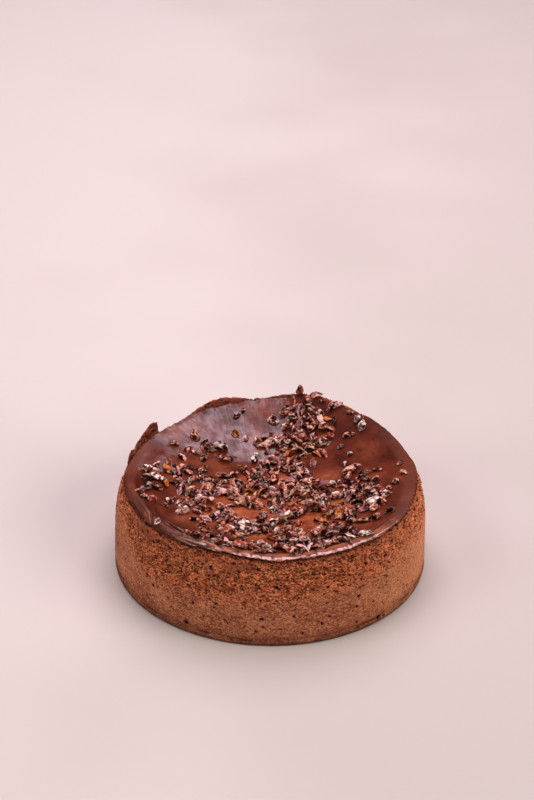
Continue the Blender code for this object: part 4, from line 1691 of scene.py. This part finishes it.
# Nibs that stand out: x and y and length in millimetres, kind, and heading in degrees. The first 44 are
# the solid's own, in its order.
STANDOUTS: tuple[tuple[float, float, float, str, float], ...] = (
    (-57, 39, 6.0, "HUSK", 20), (-53, 27, 7.4, "RED", -10), (-46, 50, 8.4, "DARK", -45),
    (-39, 42, 9.6, "RED", 80), (-39, 30, 8.0, "RED", 60), (-29, 42, 9.0, "PALE", 10),
    (-27, 30, 7.6, "DARK", 0), (-21, 66, 5.8, "PALE", 50), (-17, 72, 5.0, "PALE", 60),
    (-21, 53, 6.2, "AMBER", -50), (-15, 50, 5.2, "MAUVE", 80), (-9, 49, 6.2, "RED", 80),
    (-9, 31, 8.8, "PALE", 70), (2, 65, 7.0, "PALE", 0), (38, 70, 8.4, "MAUVE", 10),
    (26, 77, 8.0, "MAUVE", 0), (33, 61, 8.0, "AMBER", 0), (34, 50, 8.2, "RED", 30),
    (23, 42, 8.0, "HUSK", 40), (51, 58, 8.4, "PALE", 40), (46, 48, 7.0, "DARK", 20),
    (41, 40, 4.6, "PALE", 0), (46, 32, 5.0, "PALE", 50), (49, 21, 7.0, "HUSK", -20),
    (55, 13, 8.0, "RED", 10), (62, 14, 5.0, "DARK", 20), (75, 18, 5.0, "MAUVE", 30),
    (76, 8, 5.2, "PALE", -20), (72, -1, 6.0, "RED", 40), (65, -17, 6.2, "PALE", 20),
    (59, -30, 8.0, "RED", 60), (66, -36, 6.6, "DARK", 20), (57, -42, 8.0, "DARK", 0),
    (41, -64, 8.4, "PALE", 5), (-3, 2, 10.4, "PALE", 60), (-17, -15, 9.6, "HUSK", -40),
    (-15, -37, 6.4, "RED", 0), (-37, 0, 9.4, "HUSK", 15), (-45, -6, 9.8, "HUSK", 10),
    (-50, -31, 9.0, "PALE", 40), (-29, 12, 6.6, "RED", -20), (-60, -27, 6.0, "DARK", -40),
    (-75, -16, 6.8, "MAUVE", 20), (-61, -55, 5.6, "PALE", 40),
    # These lie among the solid's nibs or fill its clumps
    (-45, 34, 5.6, "PALE", 0), (-28, 5, 5.6, "PALE", 30), (-30, -7, 10.0, "MAUVE", -10),
    (-12, 0, 8.5, "RED", 70), (-25, -27, 9.5, "DARK", -45), (-70, -8, 7.5, "PALE", 30),
    (-71, 2, 6.8, "HUSK", 30), (-66, 5, 6.0, "MAUVE", 40), (-71, -20, 5.4, "PALE", 0),
    (-66, 17, 6.0, "RED", 30), (16, 71, 9.0, "MAUVE", 80), (22, 73, 8.0, "DARK", 50),
    (11, 60, 5.0, "PALE", 30), (17, 58, 9.5, "MAUVE", 85), (22, 64, 6.0, "RED", 20),
    (26, 58, 5.6, "HUSK", 20), (13, 51, 8.5, "DARK", -40), (24, 50, 7.0, "MAUVE", 60),
    (32, 43, 8.5, "PALE", 20), (16, 37, 9.5, "HUSK", 5), (22, 33, 6.0, "AMBER", 20),
    (27, 35, 6.4, "AMBER", -30), (5, 44, 9.0, "PALE", 0), (-1, 45, 8.0, "PALE", 40),
    (53, 53, 8.0, "PALE", 70), (47, 64, 5.5, "DARK", 10), (43, 23, 5.0, "PALE", 60),
    (68, -8, 4.6, "DARK", 0), (52, -16, 9.0, "DARK", 20), (50, -42, 8.5, "DARK", 20),
    (30, -56, 8.5, "DARK", -10), (38, -22, 8.0, "AMBER", 30), (24, 2, 7.0, "AMBER", -20),
)


@dataclass(frozen=True)
class NibStrew:
    """The cacao nibs: those that stand out, the rest by the solid's rule, and extra ones in their clumps."""

    form: CakeForm
    skin: BakedSkin
    seed: int = 23
    count: int = 165
    longest: float = 8.8
    shortest: float = 4.4
    length_power: float = 0.55
    spacing: float = 0.34
    sink: float = 0.27
    tries: int = 400
    rim_margin: float = 4.5
    clump_size: float = 9.0
    clumping: float = 0.9
    own: int = 44
    extra_count: int = 360
    extra_longest: float = 9.4
    extra_shortest: float = 3.0
    extra_spacing: float = 0.19
    extra_margin: float = 3.2
    # How far a nib is lifted by another's length under it, how near that one has to be, and the most
    stacking: float = 0.42
    stack_reach: float = 0.42
    most_lift: float = 3.2
    # A nib's size along its length, and how much longer the front of the cake makes it
    stretch: float = 1.22
    front_stretch: float = 0.35
    # Nibs over this length have the finer shapes
    fine_length: float = 5.5
    shapes: int = 8
    # Drifts of nibs: centre x and y and half sizes in millimetres, and how thick
    drifts: Rows = (
        (-2, -62, 48, 18, 1), (2, -16, 60, 40, 0.7), (-50, -2, 28, 26, 0.6), (8, 6, 20, 34, 0.95),
        (43, -12, 20, 28, 0.95), (21, 56, 15, 26, 0.9), (4, 45, 13, 8, 1), (-40, 34, 8, 9, 0.6),
    )
    # More drifts for the extra nibs, along the front
    extra_drifts: Rows = ((-4, -74, 46, 7, 1), (44, -58, 14, 7, 1))
    # Places that stay bare: centre x and y and half sizes
    bare: Rows = (
        (-29, 21, 10, 10), (-62, -13, 6, 6), (12, -14, 7, 4), (-16, -27, 10, 8), (22, -33, 8, 7),
        (27, 16, 7, 7), (58, -54, 14, 9), (-67, -41, 8, 12), (-36, -34, 5, 6),
    )
    # The nib that stands on end on the rim: angle, inset, height over the top, length
    standing: tuple[float, float, float, float] = (78.0, 1.0, 1.9, 8.6)
    standing_parts: Triple = (0.92, 0.95, 1.4)
    standing_turn: Triple = (0.3, math.radians(84.0), -1.3)

    def thickness(self, x: float, y: float, extra: bool) -> float:
        """How thickly nibs are strewn at a place in millimetres, from 0 to 1.

        Args:
            x: its distance to the right of the axis.
            y: its distance behind the axis.
            extra: whether the extra nibs are meant.

        Returns:
            A share of the places that take a nib.
        """
        thick = 0.0
        for cx, cy, half_x, half_y, share in self.drifts + self.extra_drifts * extra:
            away = ((x - cx) / half_x) ** 2 + ((y - cy) / half_y) ** 2
            thick = max(thick, share ** (2.5 if extra else 1.0) * min(1.0, max(0.0, 1.8 - 1.6 * away)))
        for cx, cy, half_x, half_y in self.bare:
            away = ((x - cx) / half_x) ** 2 + ((y - cy) / half_y) ** 2
            thick *= min(1.0, max(0.04, away - 0.35))
        clump = noise.noise(Vector((x, y, self.seed)) / self.clump_size)
        return thick * max(0.0, 1 + self.clumping * (2.4 if extra else 1.0) * clump)

    def inside(self, x: float, y: float, extra: bool) -> bool:
        """Whether a place in millimetres lies on the top, clear of the rim."""
        angle = np.array([math.degrees(math.atan2(y, x))])
        margin = self.extra_margin if extra else self.rim_margin
        return math.hypot(x, y) < float(self.form.edge_at(angle)[0]) / MM - margin

    def spread(self, draw: random.Random, nibs: list[Triple], length: float, extra: bool) -> Pair | None:
        """A free place for one more nib, or None where none was found.

        Args:
            draw: where its chances come from.
            nibs: place and length of those laid so far.
            length: its own length.
            extra: whether it is one of the extra nibs.

        Returns:
            Its x and y in millimetres, or None.
        """
        widest, spacing = self.form.crest_radius / MM, self.extra_spacing if extra else self.spacing
        for _ in range(self.tries):
            x, y = draw.uniform(-widest, widest), draw.uniform(-widest, widest)
            if self.thickness(x, y, extra) < draw.random() or not self.inside(x, y, extra):
                continue
            if all(math.hypot(x - a, y - b) > spacing * (length + size) for a, b, size in nibs):
                return x, y
        return None

    def places(self) -> list[Triple]:
        """Place and length of every nib in millimetres: those of the solid's rule, then the others."""
        draw = random.Random(self.seed)
        nibs = [(x, y, length) for x, y, length, _, _ in STANDOUTS[: self.own]]
        for number in range(self.count):
            share = (number / (self.count - 1)) ** self.length_power
            length = self.longest + (self.shortest - self.longest) * share
            place = self.spread(draw, nibs, length, False)
            if place:
                nibs.append((*place, length))
        nibs += [(x, y, length) for x, y, length, _, _ in STANDOUTS[self.own :]]
        for number in range(self.extra_count):
            share = number / (self.extra_count - 1)
            length = self.extra_longest + (self.extra_shortest - self.extra_longest) * share
            place = self.spread(draw, nibs, length, True)
            if place:
                nibs.append((*place, length))
        return nibs

    def kinds(self, nibs: Sequence[Triple]) -> list[tuple[NibKind, float]]:
        """Kind and heading of every nib, in the order of their places."""
        draw = random.Random(self.seed + 1)
        known = {(x, y): (NibKind[kind], heading) for x, y, _, kind, heading in STANDOUTS}
        chosen = []
        for x, y, _ in nibs:
            kind = draw.choices(list(NIB_WEIGHTS), list(NIB_WEIGHTS.values()))[0]
            chosen.append(known.get((x, y), (kind, draw.uniform(0, 360))))
        return chosen

    def lay(self) -> dict[NibKind, list[Laid]]:
        """Lays every nib on the skin, or on the nibs under it."""
        nibs = self.places()
        laid: dict[NibKind, list[Laid]] = {kind: [] for kind in NibKind}
        draw = random.Random(self.seed + 2)
        x, y, length = np.array(nibs).T
        angles, radius = np.degrees(np.arctan2(y, x)), np.hypot(x, y) * MM
        falls = np.minimum(radius - self.form.edge_at(angles), 0.0)
        ground, facing = self.skin.ring_points(angles, falls), self.form.facing(angles, falls)
        for number, ((kind, heading), size) in enumerate(zip(self.kinds(nibs), length)):
            below = np.hypot(x[:number] - x[number], y[:number] - y[number])
            over = np.clip(1 - below / (self.stack_reach * (length[:number] + size)), 0, 1) * length[:number]
            lift = min(self.stacking * float(over.max(initial=0.0)), self.most_lift)
            rise = 0.25 * size * (1 - 2 * self.sink) + lift * 0.6
            place = Vector(ground[number]) + Vector(facing[number]) * rise * MM
            lean = Vector((0, 0, 1)).rotation_difference(Vector(facing[number])).to_matrix()
            most = 0.25 if lift < 0.4 else 0.6
            tilt = Euler((draw.uniform(-2 * most, 2 * most), draw.uniform(-most, most), 0.0)).to_matrix()
            turned = (lean @ Matrix.Rotation(math.radians(heading), 3, "Z") @ tilt).to_euler()
            long = self.stretch + self.front_stretch * min(max(-y[number] / 30 - 1.4, 0), 1)
            wide, thick = size * draw.uniform(1.0, 1.2) * MM, size * draw.uniform(1.0, 1.35) * MM
            shape = draw.randrange(self.shapes) + self.shapes * (size <= self.fine_length)
            laid[kind].append(Laid(place, turned, (size * long * MM, wide, thick), shape, draw.random()))
        laid[NibKind.RED].append(self.standing_nib())
        return laid

    def standing_nib(self) -> Laid:
        """The nib that stands on the rim at the back."""
        angle, inset, height, length = self.standing
        fall = np.array([-inset * MM])
        ground = self.form.surface(np.array([angle]), fall)[0]
        place = Vector(ground) + Vector((0, 0, height * MM))
        size = tuple(length * part * MM for part in self.standing_parts)
        return Laid(place, Euler(self.standing_turn), size, 5, 0.75)

    def build(self, effects: Effects, tree: NodeTree) -> list[Object]:
        """Builds one piece for each kind of nib.

        Args:
            effects: the shared node groups.
            tree: the strewing tree.

        Returns:
            The pieces, at the origin.
        """
        pieces = []
        for kind, laid in self.lay().items():
            draw = random.Random(kind.value)
            cut = NIB_CUTS[kind]
            small = replace(cut, level=2)
            shapes = [
                broken_shape(draw, cut if number < self.shapes else small, f"{kind.value}_{number:02d}")
                for number in range(2 * self.shapes)
            ]
            finish = NIB_FINISHES[kind].material(effects)
            pieces.append(Strewing(tree, kind.value, seed=len(pieces) + 5).build(laid, shapes, finish))
        return pieces


@dataclass(frozen=True)
class LooseCrumbs:
    """The crumbs that stand out of the rough band and the torn ledges."""

    form: CakeForm
    body: CrumbBody
    seed: int = 77
    count: int = 3000
    # How many places are tried for each crumb, and between which falls
    tries: int = 5
    falls: Pair = (0.6, 38.0)
    smallest: float = 0.5
    largest: float = 1.6
    shapes: int = 24

    def lay(self) -> list[Laid]:
        """Lays the crumbs over the band, thickest near the rim."""
        draw = random.Random(self.seed)
        tries = self.count * self.tries
        angles = np.array([draw.uniform(-180, 180) for _ in range(tries)])
        falls = np.array([draw.uniform(*self.falls) for _ in range(tries)]) * MM
        points = self.form.surface(angles, falls)
        rise, marks = self.body.relief(points, angles, falls)
        facing = self.form.facing(angles, falls)
        bare = falls > self.body.skin.edge_fall(angles) + 0.8 * MM
        wanted = marks["rough"] * (0.35 + 0.65 * round_curve(angles, self.body.coarseness))
        laid = []
        for number in range(tries):
            if not bare[number] or wanted[number] < draw.random() or len(laid) >= self.count:
                continue
            size = (self.smallest + (self.largest - self.smallest) * draw.random() ** 2.6) * MM
            out = min(rise[number], -0.4 * MM) + 0.02 * size
            place = Vector(points[number]) + Vector(facing[number]) * out
            turned = Euler([draw.uniform(0, math.tau) for _ in range(3)])
            stretch = (size, size * draw.uniform(0.9, 1.5), size * draw.uniform(1.2, 2.2))
            laid.append(Laid(place, turned, stretch, draw.randrange(self.shapes), draw.random()))
        return laid

    def build(self, finish: Material, tree: NodeTree) -> Object:
        """Builds the crumbs.

        Args:
            finish: the material.
            tree: the strewing tree.

        Returns:
            The piece, at the origin.
        """
        draw = random.Random(self.seed + 1)
        cut = Cut((6, 9), (0, 1), grain=0.3, bend=0.0, wide=(0.34, 0.48), thick=(0.26, 0.4), level=1)
        shapes = [broken_shape(draw, cut, f"crumb_{number:02d}") for number in range(self.shapes)]
        strewing = Strewing(tree, "rim_crumbs", tilt=30.0, swelling=0.2, seed=3)
        crumbs = strewing.build(self.lay(), shapes, finish)
        layer = crumbs.data.attributes.new("rough", "FLOAT", "POINT")
        layer.data.foreach_set("value", np.ones(len(crumbs.data.vertices), np.float32))
        return crumbs


# Stage, light and camera


@dataclass(frozen=True)
class Stage:
    """The plain pale floor, the soft light and the camera."""

    floor_size: float = 8.0
    sky: Colour = (0.92, 0.86, 0.86)
    sky_strength: float = 0.06
    camera_place: Triple = (0.0012, -0.9161, 0.6206)
    camera_aim: Triple = (-0.0023, 0.0, 0.1030)
    camera_roll: float = 0.44
    camera_lens: float = 85.0
    camera_frame: float = 36.0
    # Soft lights: name, place, aim, width, height, power and colour
    lights: tuple[tuple[str, Triple, Triple, float, float, float, Colour], ...] = (
        ("overhead", (0.08, 0.75, 1.5), (0.08, 0.75, 0.0), 1.38, 1.8, 33.5, (1.0, 0.83, 0.96)),
        ("front_right", (2.46, -1.36, 1.95), (0.0, 0.0, 0.03), 2.38, 1.53, 81.5, (1.0, 0.94, 0.90)),
        ("left", (-2.72, -1.36, 2.12), (0.0, 0.0, 0.03), 2.38, 1.87, 73.0, (1.0, 0.95, 0.92)),
    )

    def floor(self) -> Object:
        """Builds the floor."""
        half = self.floor_size / 2
        points = np.array([(-half, -half, 0), (half, -half, 0), (half, half, 0), (-half, half, 0)])
        floor = mesh_object("floor", points, [(0, 1, 2, 3)], {})
        floor.data.materials.append(FloorFinish().material())
        return floor

    def light(self) -> None:
        """Sets the sky and the soft lights."""
        world = bpy.data.worlds.new("studio")
        world.use_nodes = True
        background = world.node_tree.nodes["Background"]
        background.inputs["Color"].default_value = (*self.sky, 1.0)
        background.inputs["Strength"].default_value = self.sky_strength
        bpy.context.scene.world = world
        for name, place, aim, width, height, power, colour in self.lights:
            light = bpy.data.lights.new(name, "AREA")
            light.shape = "RECTANGLE"
            light.size, light.size_y = width, height
            light.energy = power
            light.color = colour
            lamp = bpy.data.objects.new(name, light)
            lamp.location = place
            lamp.rotation_euler = (Vector(aim) - Vector(place)).to_track_quat("-Z", "Y").to_euler()
            bpy.context.scene.collection.objects.link(lamp)

    def camera(self) -> None:
        """Sets the camera."""
        camera = bpy.data.objects.new("camera", bpy.data.cameras.new("camera"))
        camera.data.lens = self.camera_lens
        camera.data.sensor_width = self.camera_frame
        place, aim = Vector(self.camera_place), Vector(self.camera_aim)
        facing = (aim - place).to_track_quat("-Z", "Y").to_matrix()
        roll = Matrix.Rotation(math.radians(self.camera_roll), 3, "Z")
        camera.location = place
        camera.rotation_euler = (facing @ roll).to_euler()
        bpy.context.scene.collection.objects.link(camera)
        bpy.context.scene.camera = camera


def main() -> None:
    """Builds every piece in order and reports it."""
    logging.basicConfig(level=logging.INFO, format="%(name)s: %(message)s")
    bpy.context.scene.view_settings.view_transform = "Standard"
    form, effects, tree = CakeForm(), Effects.built(), strewing_tree()
    stage = Stage()
    stage.camera()
    stage.light()
    stage.floor()
    crumb = CrumbFinish().material(effects)
    skin = BakedSkin(form)
    body = CrumbBody(form, skin)
    dress(body.build(), crumb)
    dress(LooseCrumbs(form, body).build(crumb, tree), None)
    dress(TornFlake(form).build(), crumb)
    dress(skin.build(), SkinFinish().material(effects))
    for piece in NibStrew(form, skin).build(effects, tree):
        dress(piece, None)


if __name__ == "__main__":
    main()
